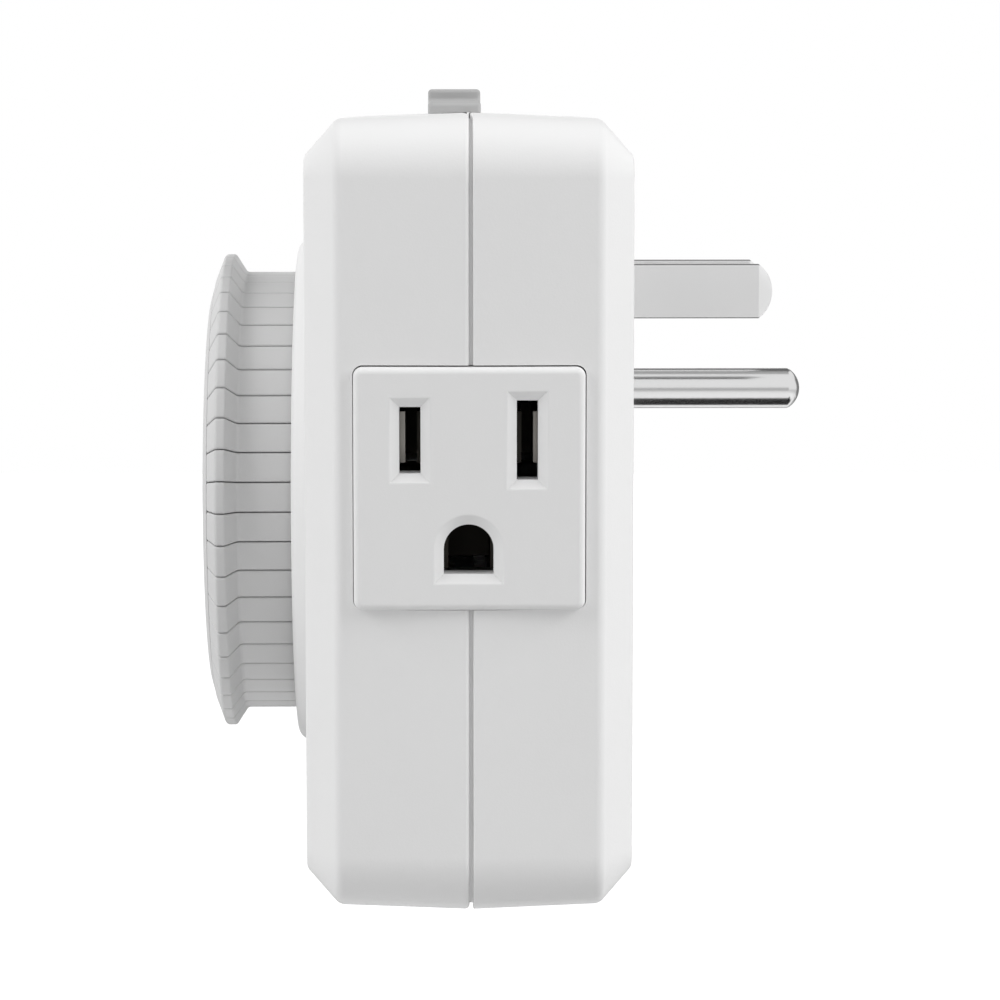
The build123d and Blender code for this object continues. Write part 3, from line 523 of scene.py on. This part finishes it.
# %% [markdown]
# ## The two shells
# The case is two plastic shells that meet at a narrow groove. Each could be a box with bevels, but
# the real edges are long soft bends, so each shell is one closed loft: rings of the rounded square
# outline run from the seam over the side, the slope and the face, and come back inside the wall.

# %% Sizes of the shells
corner_radius = 7.0 * mm
draft = math.tan(math.radians(2.3))
slope_depth = 3.6 * mm
slope_width = 4.1 * mm
slope_bend = 1.5 * mm
face_bend = 1.0 * mm
groove_depth = 0.7 * mm
groove_shift = 0.2 * mm
groove_edges = {-1: 0.5 * mm, 1: 0.15 * mm}
side_steps = 20
corner_steps = 12
inner_bend = 0.45 * wall
slope_start = shell_depth - slope_depth
slope_start_inset = (slope_start - seam_half) * draft
face_inset = slope_start_inset + slope_width


# %% The case's outline
def case_ring(distance, inset, facing):
    """The rounded square of the case, at a distance from the seam and drawn in by an inset."""
    half = case_half - inset
    radius = max(corner_radius - inset, 0.2 * mm)
    flat = half - radius
    side = [Vector((half, -flat + 2 * flat * step / side_steps)) for step in range(1, side_steps)]
    arc = [Vector((flat + radius * math.cos(a), flat + radius * math.sin(a)))
           for a in quarter_turns(corner_steps)]
    ring = []
    for quarter in range(4):
        turn = Matrix.Rotation(quarter * math.pi / 2, 2)
        ring += [turn @ point for point in side + arc]
    y = seam_y + facing * distance
    return [(point.x, y, case_mid + point.y) for point in ring]


def shell_profile(facing):
    """The shell's outer line from the groove's floor to the face, as (distance, inset)."""
    groove_side = seam_half + facing * groove_shift
    return softened([
        (groove_side, groove_depth, 0),
        (groove_side, 0, groove_edges[facing]),
        (slope_start, slope_start_inset, slope_bend),
        (shell_depth, face_inset, face_bend),
        (shell_depth, face_inset + 2 * mm, 0),
    ])


print("each ring has", len(case_ring(0, 0, 1)), "points, the profile", len(shell_profile(1)))


# %% The inside of a shell
def inner_rings(facing):
    """Rings along the inside of the wall, from the face back to the seam."""
    seam = facing * groove_shift
    return [
        case_ring(shell_depth - wall, face_inset + inner_bend, facing),
        case_ring(slope_start - inner_bend, slope_start_inset + wall, facing),
        case_ring(seam, wall, facing),
        case_ring(seam, groove_depth, facing),
    ]


# %% [markdown]
# ## The front shell's boss
# The dial stands in a round boss on the front face. After the outline rings, the loft goes on with
# circles round the dial's axis: up the boss's flared side, over its soft shoulder, across its narrow
# top and down the bore. Each circle has a point for each point of the outline, so the faces stay even.

# %% Circles of the boss
bore_radius = 26.4 * mm
boss_radius = bore_radius + 3.5 * mm
boss_height = 1.95 * mm
front_y = seam_y - shell_depth
boss_top = front_y - boss_height
outline_angles = [math.atan2(z - dial_z, x) for x, _, z in case_ring(shell_depth, face_inset, -1)]


def dial_circle(radius, y):
    """A circle round the dial's axis, with a point on the ray to each point of the outline."""
    return [(radius * math.cos(a), y, dial_z + radius * math.sin(a)) for a in outline_angles]


boss_line = softened([
    (boss_radius + 1.8 * mm, front_y, 0),
    (boss_radius + 0.9 * mm, front_y, 0.7 * mm),
    (boss_radius - 0.8 * mm, boss_top, 1.3 * mm),
    (bore_radius, boss_top, 0.3 * mm),
    (bore_radius, front_y + wall, 0),
])
print("boss", round(2000 * boss_radius, 1), "mm across")


# %% [markdown]
# ## Windows in the sides and a slot in the top
# Each side has a window for its socket face, half in each shell, and the top has a short slot for
# the slider's stem. They are cut with blocks after the loft, because a cut gives their sharp rims
# in one step.

# %% Sizes of the windows and the slot
slider_low, slider_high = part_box("override_slider")
window_gap = 0.11 * mm
window_corner = 1.1 * mm
plate_half_y = 12.55 * mm
plate_half_z = 13.2 * mm
plate_z = -7.6 * mm
plate_shift_y = -0.02 * mm
plate_shift_z = -0.04 * mm
stem_slot_half_y = 1.6 * mm
stem_slot_half_x = 4.1 * mm
slider_y = seam_y - 1.43 * mm
print("the slider's slot lies at y", round(1000 * slider_y, 2))


# %% Make the front shell
def block(low, high):
    """A box between two corners, as a loft of two squares."""
    square = [(low[0], low[1]), (high[0], low[1]), (high[0], high[1]), (low[0], high[1])]
    return lofted([[(x, y, z) for x, y in square] for z in (low[2], high[2])])


def rectangle(y, z, half_y, half_z, radius, steps=3):
    """A rectangle with rounded corners, as a closed outline in Y and Z."""
    return softened([
        (y - half_y, z - half_z, radius), (y + half_y, z - half_z, radius),
        (y + half_y, z + half_z, radius), (y - half_y, z + half_z, radius),
    ], steps, closed=True)


def window(side):
    """The block that cuts the window for one socket face."""
    outline = rectangle(seam_y, plate_z, plate_half_y + window_gap, plate_half_z + window_gap,
                        window_corner, steps=8)
    return along_x([(outline, side * (case_half - 3 * wall)), (outline, side * (case_half + 2 * mm))])


front_rings = [case_ring(distance, inset, -1) for distance, inset in shell_profile(-1)]
front_rings += [dial_circle(radius, y) for radius, y in boss_line] + inner_rings(-1)
front_shell = piece("front_shell", lofted(front_rings, "joined"), "case",
                    ["front_housing"], white_plastic)
for side in (-1, 1):
    cut(front_shell, window(side))
cut(front_shell, block((-stem_slot_half_x, slider_y - stem_slot_half_y, case_top - 2 * wall),
                       (stem_slot_half_x, slider_y + stem_slot_half_y, case_top + mm)))
print("front shell has", len(front_shell.data.polygons), "faces")

# %% [markdown]
# ## The rear shell
# It has the same outline with a plain face. Four deep wells hold the screws that close the case.
# The wall is left whole where the blades and the ground pin pass through it: no holes are cut for
# them here, as the CAD model has them without a gap.

# %% Make the rear shell
rear_rings = inner_rings(1) + [case_ring(distance, inset, 1) for distance, inset in shell_profile(1)]
rear_shell = piece("rear_shell", lofted(rear_rings), "case",
                   ["rear_housing"], white_plastic)
for side in (-1, 1):
    cut(rear_shell, window(side))
screw_low, screw_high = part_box("housing_screws")
head_radius = 2.8 * mm
well_radius = head_radius + 0.2 * mm
well_depth = 6.0 * mm
well_wall = 1.5 * mm
well_flare = 0.3 * mm
tube_line = [(well_radius + well_wall, seam_y + 0.5 * mm), (well_radius + well_wall, -wall / 2)]
well_line = [(well_radius + well_flare, mm), (well_radius + well_flare, 0),
             (well_radius, -well_flare), (well_radius, -well_depth)]
for x in (screw_low.x + head_radius, screw_high.x - head_radius):
    for z in (screw_low.z + head_radius, screw_high.z - head_radius):
        cut(rear_shell, turned(tube_line, (x, z), 40), "UNION")
        cut(rear_shell, turned(well_line, (x, z), 48))
print("rear shell has", len(rear_shell.data.polygons), "faces")

# %% [markdown]
# ## The socket faces
# The user's plug goes into an insert on each side. Its face is a plain plate with softly sunken
# beds round the two slots and the ground hole, so that a plug's pins find their way in. The plate
# is a loft of its rounded outline, and each bed with its slot is one cutter: its rings follow the
# slope from the plate down to the slot, and then go straight in.

# %% Sizes of the socket face
plate_front = socket_high.x
plate_edge = 0.75 * mm
plate_corner = 1.0 * mm
bed_depth = 0.65 * mm
bed_margin = 1.2 * mm
holes_y = seam_y - 0.1 * mm
slot_half = 1.15 * mm
slot_z = -2.35 * mm
short_half = 3.6 * mm
tall_half = 4.3 * mm
ground_z = -14.2 * mm
ground_radius = 2.7 * mm
ground_flat = 2.7 * mm
hole_length = 11 * mm
bed_slope = [(1.0, 0.0), (0.93, 0.015), (0.86, 0.06), (0.79, 0.13), (0.12, 0.88), (0.05, 0.95), (0.0, 1.0)]
print("socket plate stands", round(1000 * (plate_front - case_half), 2), "mm proud of the case")


# %% Outlines of the ground hole and the sunken beds
def arch(radius, flat):
    """A hole with a round top and a flat bottom, round the ground hole's centre."""
    arc = [Vector((holes_y + radius * math.cos(a), ground_z + radius * math.sin(a)))
           for a in (math.pi * step / 32 for step in range(33))]
    return arc + [Vector((holes_y - radius, ground_z - flat)), Vector((holes_y + radius, ground_z - flat))]


def bed(hole):
    """The cutter for one sunken bed and the hole in it: rings from outside the plate inwards."""
    rings = [(shrunk(hole, -bed_margin), plate_front + mm)]
    rings += [(shrunk(hole, -bed_margin * out), plate_front - bed_depth * down) for out, down in bed_slope]
    rings += [(hole, plate_front - hole_length)]
    return along_x(rings)


# %% [markdown]
# The left-hand insert is the mirror image of the right-hand one, so the same steps make both and
# only the sign of X changes.

# %% Make the two socket faces
holes = [
    rectangle(holes_y - slot_offset, slot_z, slot_half, short_half, 0),
    rectangle(holes_y + slot_offset, slot_z, slot_half, tall_half, 0),
    arch(ground_radius, ground_flat),
]
plate_outline = rectangle(seam_y + plate_shift_y, plate_z + plate_shift_z, plate_half_y, plate_half_z,
                          plate_corner, steps=8)
plate_rings = []
for turn in quarter_turns(8):
    ring = shrunk(plate_outline, plate_edge * (1 - math.sin(turn)))
    plate_rings.append((ring, plate_front - plate_edge * (1 - math.cos(turn))))
plate_rings.append((plate_outline, socket_low.x + mm))


def socket_face(name, node, side):
    """One insert, cut with its three beds, on the right (1) or the left (-1)."""
    insert = piece(name, along_x(plate_rings), "case", [node], socket_plastic)
    for hole in holes:
        cut(insert, bed(hole))
    if side < 0:
        insert.data.transform(Matrix.Scale(-1, 4, (1, 0, 0)))
        insert.data.flip_normals()
    print(name, "has", len(insert.data.polygons), "faces")


socket_face("socket_right", "receptacle_face_right", 1)
socket_face("socket_left", "receptacle_face_left", -1)

# %% [markdown]
# ## A helper for bars with soft ends
# The dial's tabs, the cap's pointer and the slider are all the same idea: an outline carried along a
# path, with its two ends rounded over. The helper makes the ends by shrinking the outline a little
# at the first and last few rings, and the caller says how an outline point is placed at each step.


# %% A bar with soft ends
def soft_bar(outline, start, end, edge, place, between=1, steps=4):
    """An outline carried from start to end, its ends rounded over by an edge radius."""
    first = [(start + edge * (1 - math.cos(a)), edge * (1 - math.sin(a))) for a in quarter_turns(steps)]
    last = [(start + end - at, inset) for at, inset in reversed(first)]
    inner, outer = first[-1][0], last[0][0]
    middle = [(inner + (outer - inner) * step / between, 0) for step in range(1, between)]
    return lofted([[place(point, at) for point in shrunk(outline, inset)]
                   for at, inset in first + middle + last])


def along_y(point, y):
    """A place for a bar that runs along Y, with its outline in X and Z."""
    return (point.x, y, point.y)


print("a bar of a softened square has", len(soft_bar(square, 0, 9, 1, along_y)[1]), "faces")

# %% [markdown]
# ## The tabs round the dial
# Forty-eight tabs stand in a ring, one for each half hour. The user pushes a tab in to switch the
# socket on for that half hour. Each tab is a turned outline swept through its share of the circle,
# which keeps its flange truly round. Two tabs make one piece, because the pair moves as one body.

# %% Sizes of a tab
tab_low, tab_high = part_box("hour_00_trippers")
shank_radius = 26.0 * mm
flange_radius = 28.1 * mm
tab_wall = 1.3 * mm
tab_edge = 0.2 * mm
tab_front = tab_low.y
tab_end = tab_high.y
land_front = tab_front + 1.05 * mm
land_rear = land_front + 1.1 * mm
flange_end = land_rear + 1.35 * mm
tab_angle = math.radians(7.5)
tab_gap = 0.11 * mm / shank_radius
tab_reach = (tab_angle - tab_gap) / 2
tongue_front = tab_front + mm
tongue_end = tab_end - 1.5 * mm
tongue_inner = 22.6 * mm
tongue_outer = 25.2 * mm
tongue_reach = 0.8 * mm / (24.0 * mm)
tab_outline = softened([
    (tab_front, shank_radius - tab_wall, 0.15 * mm),
    (tab_front, flange_radius - 2.8 * mm, 0.25 * mm),
    (land_front, flange_radius, 0.45 * mm),
    (land_rear, flange_radius, 0.35 * mm),
    (flange_end, shank_radius, 0.6 * mm),
    (tab_end, shank_radius, 0.3 * mm),
    (tab_end, shank_radius - tab_wall, 0.15 * mm),
], steps=5, closed=True)
print("a tab is", round(1000 * (tab_end - tab_front), 1), "mm long")


# %% Make the twenty-four pairs of tabs
def on_dial(point, angle):
    """A place on the dial: the outline gives Y and the radius, and the angle turns from +X to +Z."""
    return (point.y * math.cos(angle), point.x, dial_z + point.y * math.sin(angle))


def round_dial(point, along):
    """A place on the dial, with the angle given as a distance along the shank."""
    return on_dial(point, along / shank_radius)


def tongue(angle):
    """The tongue inside a tab, which slides in the drum's slot."""
    outline = [Vector((tongue_front, tongue_inner)), Vector((tongue_end, tongue_inner)),
               Vector((tongue_end, tongue_outer)), Vector((tongue_front, tongue_outer))]
    return lofted([[on_dial(point, angle + turn) for point in outline]
                   for turn in (-tongue_reach, tongue_reach)])


for hour in range(24):
    shapes = []
    for half in (0, 1):
        middle = tab_angle * (2 * hour + half + 0.5)
        start, end = (middle - tab_reach) * shank_radius, (middle + tab_reach) * shank_radius
        shapes.append(soft_bar(tab_outline, start, end, tab_edge, round_dial, between=6, steps=3))
        shapes.append(tongue(middle))
    piece(f"tabs_{hour:02d}", joined_shapes(shapes), f"hour_{hour:02d}",
          [f"hour_{hour:02d}_trippers"], tab_plastic)
print("made the tabs of 24 hours")

# %% [markdown]
# ## The dial's printed disc
# The disc closes the drum's front. It is a turned part with a soft rim, so it is a loft of circles.
# The hours are pad-printed: thin ink that lies on the plastic. Blender's own font is plain enough
# for that, and each number becomes a flat mesh. The dial turns clockwise past a fixed pointer, so
# the hours are numbered anticlockwise.

# %% Make the disc
dial_centre = (0.0, dial_z)
dial_front = disc_low.y
disc_radius = disc_high.x + 0.2 * mm
disc_bore = 4.4 * mm
disc_bevel = disc_radius - 2.1 * mm
rim_front = tab_front - 0.02 * mm
rim_inner = 20.6 * mm
disc_line = softened([
    (disc_bore, disc_high.y, 0), (disc_bore, dial_front, 0.15 * mm), (disc_bevel, dial_front, 3.0 * mm),
    (disc_radius, rim_front, 0.05 * mm), (rim_inner, rim_front, 0), (rim_inner, disc_high.y, 0),
], steps=5)
piece("dial_disc", turned(disc_line, dial_centre, 192, "joined"), "dial",
      ["dial_face"], dial_plastic)
print("disc is", round(2000 * disc_radius, 1), "mm across")


# %% Print the hours
ink_front = dial_front - 0.012 * mm
number_height = 3.0 * mm
number_radius = 17.4 * mm
hour_tick = (19.8 * mm, 22.2 * mm, 0.28 * mm)
half_hour_tick = (20.8 * mm, 22.2 * mm, 0.2 * mm)


def number(text, angle):
    """A number as flat faces on the disc, its foot towards the middle."""
    curve = bpy.data.curves.new("number", "FONT")
    curve.body = text
    curve.size = number_height
    curve.align_x = "CENTER"
    curve.align_y = "CENTER"
    holder = bpy.data.objects.new("number", curve)
    flat = bpy.data.meshes.new_from_object(holder)
    bpy.data.objects.remove(holder)
    turn = Matrix.Rotation(angle - math.pi / 2, 2)
    places = [turn @ Vector((vertex.co.x, vertex.co.y + number_radius)) for vertex in flat.vertices]
    faces = [tuple(face.vertices) for face in flat.polygons]
    bpy.data.meshes.remove(flat)
    return [(p.x, ink_front, dial_z + p.y) for p in places], faces


def tick(angle, inner, outer, width):
    """A printed line that points to the middle."""
    out = Vector((math.cos(angle), math.sin(angle)))
    across = Vector((-out.y, out.x)) * width / 2
    ends = [out * inner - across, out * outer - across, out * outer + across, out * inner + across]
    return [(p.x, ink_front, dial_z + p.y) for p in ends], [(0, 1, 2, 3)]


marks = []
for hour in range(1, 25):
    angle = 2 * tab_angle * hour
    marks += [number(str(hour), angle), tick(angle, *hour_tick), tick(angle + tab_angle, *half_hour_tick)]
piece("dial_hours", joined_shapes(marks), "dial", [], ink)
print("printed", len(marks), "marks")

# %% [markdown]
# ## The cap and its pointer
# A small cap stands still in the middle and points up to the time now. It is turned too, and the
# pointer is a raised arrow with soft edges, moulded in one with the cap.

# %% Make the cap
cap_low, cap_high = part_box("centre_cap")
cap_radius = cap_high.x
cap_top = cap_low.y + 0.3 * mm
cap_rim = dial_front - 0.2 * mm
hub_radius = 4.0 * mm
peg_radius = 1.6 * mm
hub_end = dial_front + 3 * mm
axis_gap = 0.02 * mm
cap_line = softened([
    (axis_gap, cap_high.y, 0), (peg_radius, cap_high.y, 0.2 * mm), (peg_radius, hub_end, 0),
    (hub_radius, hub_end, 0), (hub_radius, cap_rim, 0), (cap_radius, cap_rim, 0.08 * mm),
    (cap_radius, cap_top, 0.35 * mm), (axis_gap, cap_top, 0),
], steps=6)
arrow_half = 1.2 * mm
arrow_foot = dial_z - 4.5 * mm
arrow_tip = dial_z + 7.8 * mm
arrow = softened([
    (-arrow_half, arrow_foot, 0.3 * mm), (arrow_half, arrow_foot, 0.3 * mm), (0, arrow_tip, 0.15 * mm),
], steps=4, closed=True)
arrow_shape = soft_bar(arrow, cap_low.y, cap_top + 0.2 * mm, 0.1 * mm, along_y)
piece("cap", joined_shapes([turned(cap_line, dial_centre), arrow_shape]), "case",
      ["centre_cap"], tab_plastic)
print("cap is", round(2000 * cap_radius, 1), "mm across")

# %% [markdown]
# ## The override slider
# The thumb slider lies on top of the case: a low block with a rib for the thumb. Its outline is
# drawn from the front, with a hollow curve where the rib meets the block, and the bar helper rounds
# its two long sides. The stem, the keeper and the finger under the wall are plain blocks, as inside
# parts are.

# %% Make the slider
rib_mid = -2.0 * mm
rib_half = 1.2 * mm
slider_foot = case_top + 0.04 * mm
slider_block = case_top + 1.35 * mm
slider_top = slider_high.z - 0.25 * mm
slider_half_y = 3.1 * mm
slider_edge = 0.45 * mm
slider_outline = softened([
    (slider_low.x, slider_foot, 0), (slider_high.x, slider_foot, 0),
    (slider_high.x, slider_block, 0.9 * mm), (rib_mid + rib_half, slider_block, 0.4 * mm),
    (rib_mid + rib_half, slider_top, 0.45 * mm), (rib_mid - rib_half, slider_top, 0.45 * mm),
    (rib_mid - rib_half, slider_block, 0.4 * mm), (slider_low.x, slider_block, 0.9 * mm),
], steps=6, closed=True)
print("slider outline has", len(slider_outline), "points")


# %% The inner part of the slider, and the whole of it
def on_case(point, y):
    """A point of the slider's outline, its foot kept down on the case's slope."""
    if point.y < slider_foot + 0.5 * mm:
        return (point.x, y, slider_foot - draft * abs(y - seam_y))
    return (point.x, y, point.y)


keeper_top = case_top - wall - 0.5 * mm
keeper_low = keeper_top - 1.2 * mm
keeper_front = -26.9 * mm
keeper_half = 8 * mm
stem_half_x = 2 * mm
stem_half_y = 1.5 * mm
stem_rear = slider_y + stem_half_y
finger_start = rib_mid - 7 * mm
finger_end = rib_mid - 4 * mm
overlap = 0.1 * mm
stem = block((rib_mid - stem_half_x, slider_y - stem_half_y, keeper_top - overlap),
             (rib_mid + stem_half_x, stem_rear, slider_foot + 0.5 * mm))
keeper = block((rib_mid - keeper_half, keeper_front, keeper_low),
               (rib_mid + keeper_half, stem_rear, keeper_top))
finger = block((finger_start, keeper_front, slider_low.z),
               (finger_end, keeper_front + mm, keeper_low + overlap))
slider_shape = soft_bar(slider_outline, slider_y - slider_half_y, slider_y + slider_half_y, slider_edge,
                        on_case, between=4, steps=5)
slider = piece("slider_grip", joined_shapes([slider_shape, stem, keeper, finger]), "slider",
               ["override_slider"], slider_plastic)
print("slider has", len(slider.data.polygons), "faces")

# %% [markdown]
# ## The plug's blades
# Each blade is a strip of brass, plated with nickel, with a round tip that is pressed thinner so
# that it enters a socket easily. It is a loft of narrow rounded rectangles along Y: their width
# follows the round tip and their thickness follows the taper.

# %% Make the blades
blade_thick = 0.76 * mm
blade_crown = 0.03 * mm
blade_edge = 0.2 * mm
tip_length = 1.6 * mm
tip_taper = 0.31 * mm
tip_steps = 14
tip_blunt = 0.3
tip_start = blade_high.y - tip_length
tip_radius = (blade_half ** 2 + tip_length ** 2) / (2 * tip_length)
tip_centre = blade_high.y - tip_radius


def blade_sections():
    """Place, half height and half thickness of each rectangle along a blade, from the case to the tip."""
    sections = [(y, blade_half, blade_thick) for y in (blade_low.y, 0, tip_start)]
    widest = math.asin(blade_half / tip_radius)
    for step in range(1, tip_steps + 1):
        turn = widest * (1 - step / (tip_steps + tip_blunt))
        y = tip_centre + tip_radius * math.cos(turn)
        thin = (y - tip_start) / tip_length
        sections.append((y, tip_radius * math.sin(turn), blade_thick - tip_taper * thin))
    return sections


def blade(name, node):
    """One blade, at the X of its CAD node."""
    low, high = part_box(node)
    middle = (low.x + high.x) / 2
    rings = []
    for y, half, thick in blade_sections():
        edge = min(blade_edge, half / 2)
        side = [(thick - blade_crown * at * at, half * at, edge if abs(at) == 1 else 0)
                for at in (-1, -0.5, 0, 0.5, 1)]
        corners = side + [(-a, -b, radius) for a, b, radius in side]
        outline = softened(corners, steps=8, closed=True)
        rings.append([(middle + p.x, y, blade_mid_z + p.y) for p in outline])
    piece(name, lofted(rings), "case", [node], blade_nickel, sharp=9)


blade("blade_line", "line_blade")
blade("blade_neutral", "neutral_blade")
print("blades are", round(1000 * blade_high.y, 1), "mm long")

# %% [markdown]
# ## The ground pin
# The round pin is turned and polished, with a low dome at its end. A loft of circles follows its
# profile. The dome's rim has a tiny radius, which catches the light as a thin bright line.

# %% Make the ground pin
pin_low, pin_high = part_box("ground_pin")
pin_radius = 2.4 * mm
pin_rise = 1.4 * mm
dome_radius = (pin_radius ** 2 + pin_rise ** 2) / (2 * pin_rise)
dome_turn = math.asin(pin_radius / dome_radius)
dome_steps = 12
dome_start = pin_high.y - pin_rise
rim_length = 0.12 * mm
rim_inset = 0.03 * mm
collar_radius = 2.8 * mm
collar_end = -0.6 * mm
pin_line = [(collar_radius, pin_low.y), (collar_radius, collar_end), (pin_radius, collar_end),
            (pin_radius, dome_start - rim_length), (pin_radius - rim_inset, dome_start)]
for step in range(1, dome_steps):
    turn = dome_turn * (1 - step / dome_steps)
    pin_line.append((dome_radius * math.sin(turn), pin_high.y - dome_radius * (1 - math.cos(turn))))
piece("pin_ground", turned(pin_line), "case", ["ground_pin"], nickel, sharp=40)
print("pin is", round(1000 * pin_high.y, 1), "mm long")

# %% [markdown]
# ## Light, floor and background
# Soft studio light shows plastic well: two large high lamps, in front and behind, weaker ones
# above and at the sides, and an even world that fills the shadows. The world and the floor look
# white to the camera, to reflections and to clear things, but they light the object at their own
# plain level.


# %% The world
def level(tree, lighting, camera, mirror):
    """A strength with a value for light, one for the camera, and one for mirrors and clear glass."""
    rays = tree.nodes.new("ShaderNodeLightPath").outputs
    total = lighting
    values = {"Is Camera Ray": camera, "Is Glossy Ray": mirror, "Is Transmission Ray": mirror}
    for ray, value in values.items():
        inputs = {0: rays[ray], 1: value - lighting, 2: total}
        total = add_node(tree, "ShaderNodeMath", inputs, operation="MULTIPLY_ADD").outputs["Value"]
    return total


world = bpy.data.worlds.new("studio")
bpy.context.scene.world = world
world.use_nodes = True
world_tree = world.node_tree
feed(world_tree, world_tree.nodes["Background"], {
    "Color": grey(1.0), "Strength": level(world_tree, lighting=0.45, camera=1.0, mirror=1.0)})
print("world set")


# %% The floor
def matt(name, tone, glow):
    """A matt grey material with an even white glow."""
    made, tree, shader = material(name)
    feed(tree, shader, {"Base Color": grey(tone), "Roughness": 0.9,
                        "Emission Color": grey(1.0), "Emission Strength": glow})
    return made


def sheet(name, surface, corners):
    """A flat sheet with four corners."""
    mesh = bpy.data.meshes.new(name)
    mesh.from_pydata(corners, [], [(0, 1, 2, 3)])
    mesh.materials.append(surface)
    return new_object(name, mesh)


floor_height = -0.3
floor_reach = 3.0
floor_corners = [(x * floor_reach, y * floor_reach, floor_height)
                 for x, y in ((-1, -1), (1, -1), (1, 1), (-1, 1))]
floor_material = matt("pale_floor", 0.6, 0.0)
floor_tree = floor_material.node_tree
feed(floor_tree, floor_tree.nodes["Principled BSDF"], {
    "Emission Strength": level(floor_tree, lighting=0.0, camera=0.85, mirror=0.4)})
floor = sheet("floor", floor_material, floor_corners)
print("floor at", floor_height, "m")


# %% The lamps
lamp_target = Vector((0.0, seam_y, case_mid))


def lamp(name, place, size, power):
    """A square soft lamp that faces the case. Metal doesn't mirror it, as behind a diffuser."""
    data = bpy.data.lights.new(name, "AREA")
    data.size = size
    data.energy = power
    light = new_object(name, data)
    light.location = place
    light.rotation_euler = (lamp_target - Vector(place)).to_track_quat("-Z", "Y").to_euler()
    light.visible_glossy = False


lamp("lamp_front", (0.22, -0.8, 0.5), 0.5, 5.1)
lamp("lamp_rear", (0.22, 0.8, 0.5), 0.6, 7.0)
lamp("lamp_above", (0.05, -0.1, 0.9), 0.6, 0.6)
lamp("lamp_right", (0.92, -0.02, -0.05), 0.6, 0.7)
lamp("lamp_left", (-0.92, -0.02, 0.1), 0.6, 2.6)
print("made", len(bpy.data.lights), "lamps")

# %% [markdown]
# ## Cards for the metal
# Polished metal in an all-white room looks like nothing at all. In a studio, black and grey cards
# stand round it, so that it shows dark bands. These cards are seen by reflections only.


# %% The cards
def card(name, tone, corners):
    """A flat card with an even tone of its own, seen by reflections only."""
    obj = sheet(name, matt(name, 0.01, tone), corners)
    obj.visible_camera = obj.visible_diffuse = obj.visible_shadow = obj.visible_transmission = False


def strip(name, tone, low, high, start=-0.3, end=0.5):
    """A card that runs along Y, between two places in X and Z."""
    corners = [(low, start), (high, start), (high, end), (low, end)]
    card(name, tone, [(x, y, z) for (x, z), y in corners])


strip("card_below", 0.0, (-0.093, -0.25), (0.165, -0.25), -0.02, 0.3)
strip("card_side", 0.5, (1.1, -0.21), (1.1, 0.1))
strip("card_behind", 0.15, (-0.93, 0.37), (-0.44, 0.90))
strip("card_top", 0.45, (-0.44, 0.90), (-0.02, 1.0))
strip("card_low", 0.35, (-0.70, -0.25), (-0.30, -0.25))
card("card_end", 0.2, [(-0.97, 0.26, -0.3), (-0.5, 0.87, -0.3), (-0.5, 0.87, 0.3), (-0.97, 0.26, 0.3)])
print("made the cards")

# %% [markdown]
# ## The camera
# The camera looks at the right-hand side, from a little above the middle, with a long lens, so that
# the case's edges stay nearly parallel.

# %% Place the camera
camera_place = Vector((0.4517, -0.0213, 0.0334))
camera_aim = Vector((0.0, -0.0140, -0.01343))
camera_data = bpy.data.cameras.new("camera")
camera_data.lens = 136.36
camera = new_object("camera", camera_data)
camera.location = camera_place
camera.rotation_euler = (camera_aim - camera_place).to_track_quat("-Z", "Y").to_euler()
bpy.context.scene.camera = camera
bpy.context.scene.view_settings.view_transform = "Standard"
print("camera", round((camera_aim - camera_place).length, 3), "m from its aim")
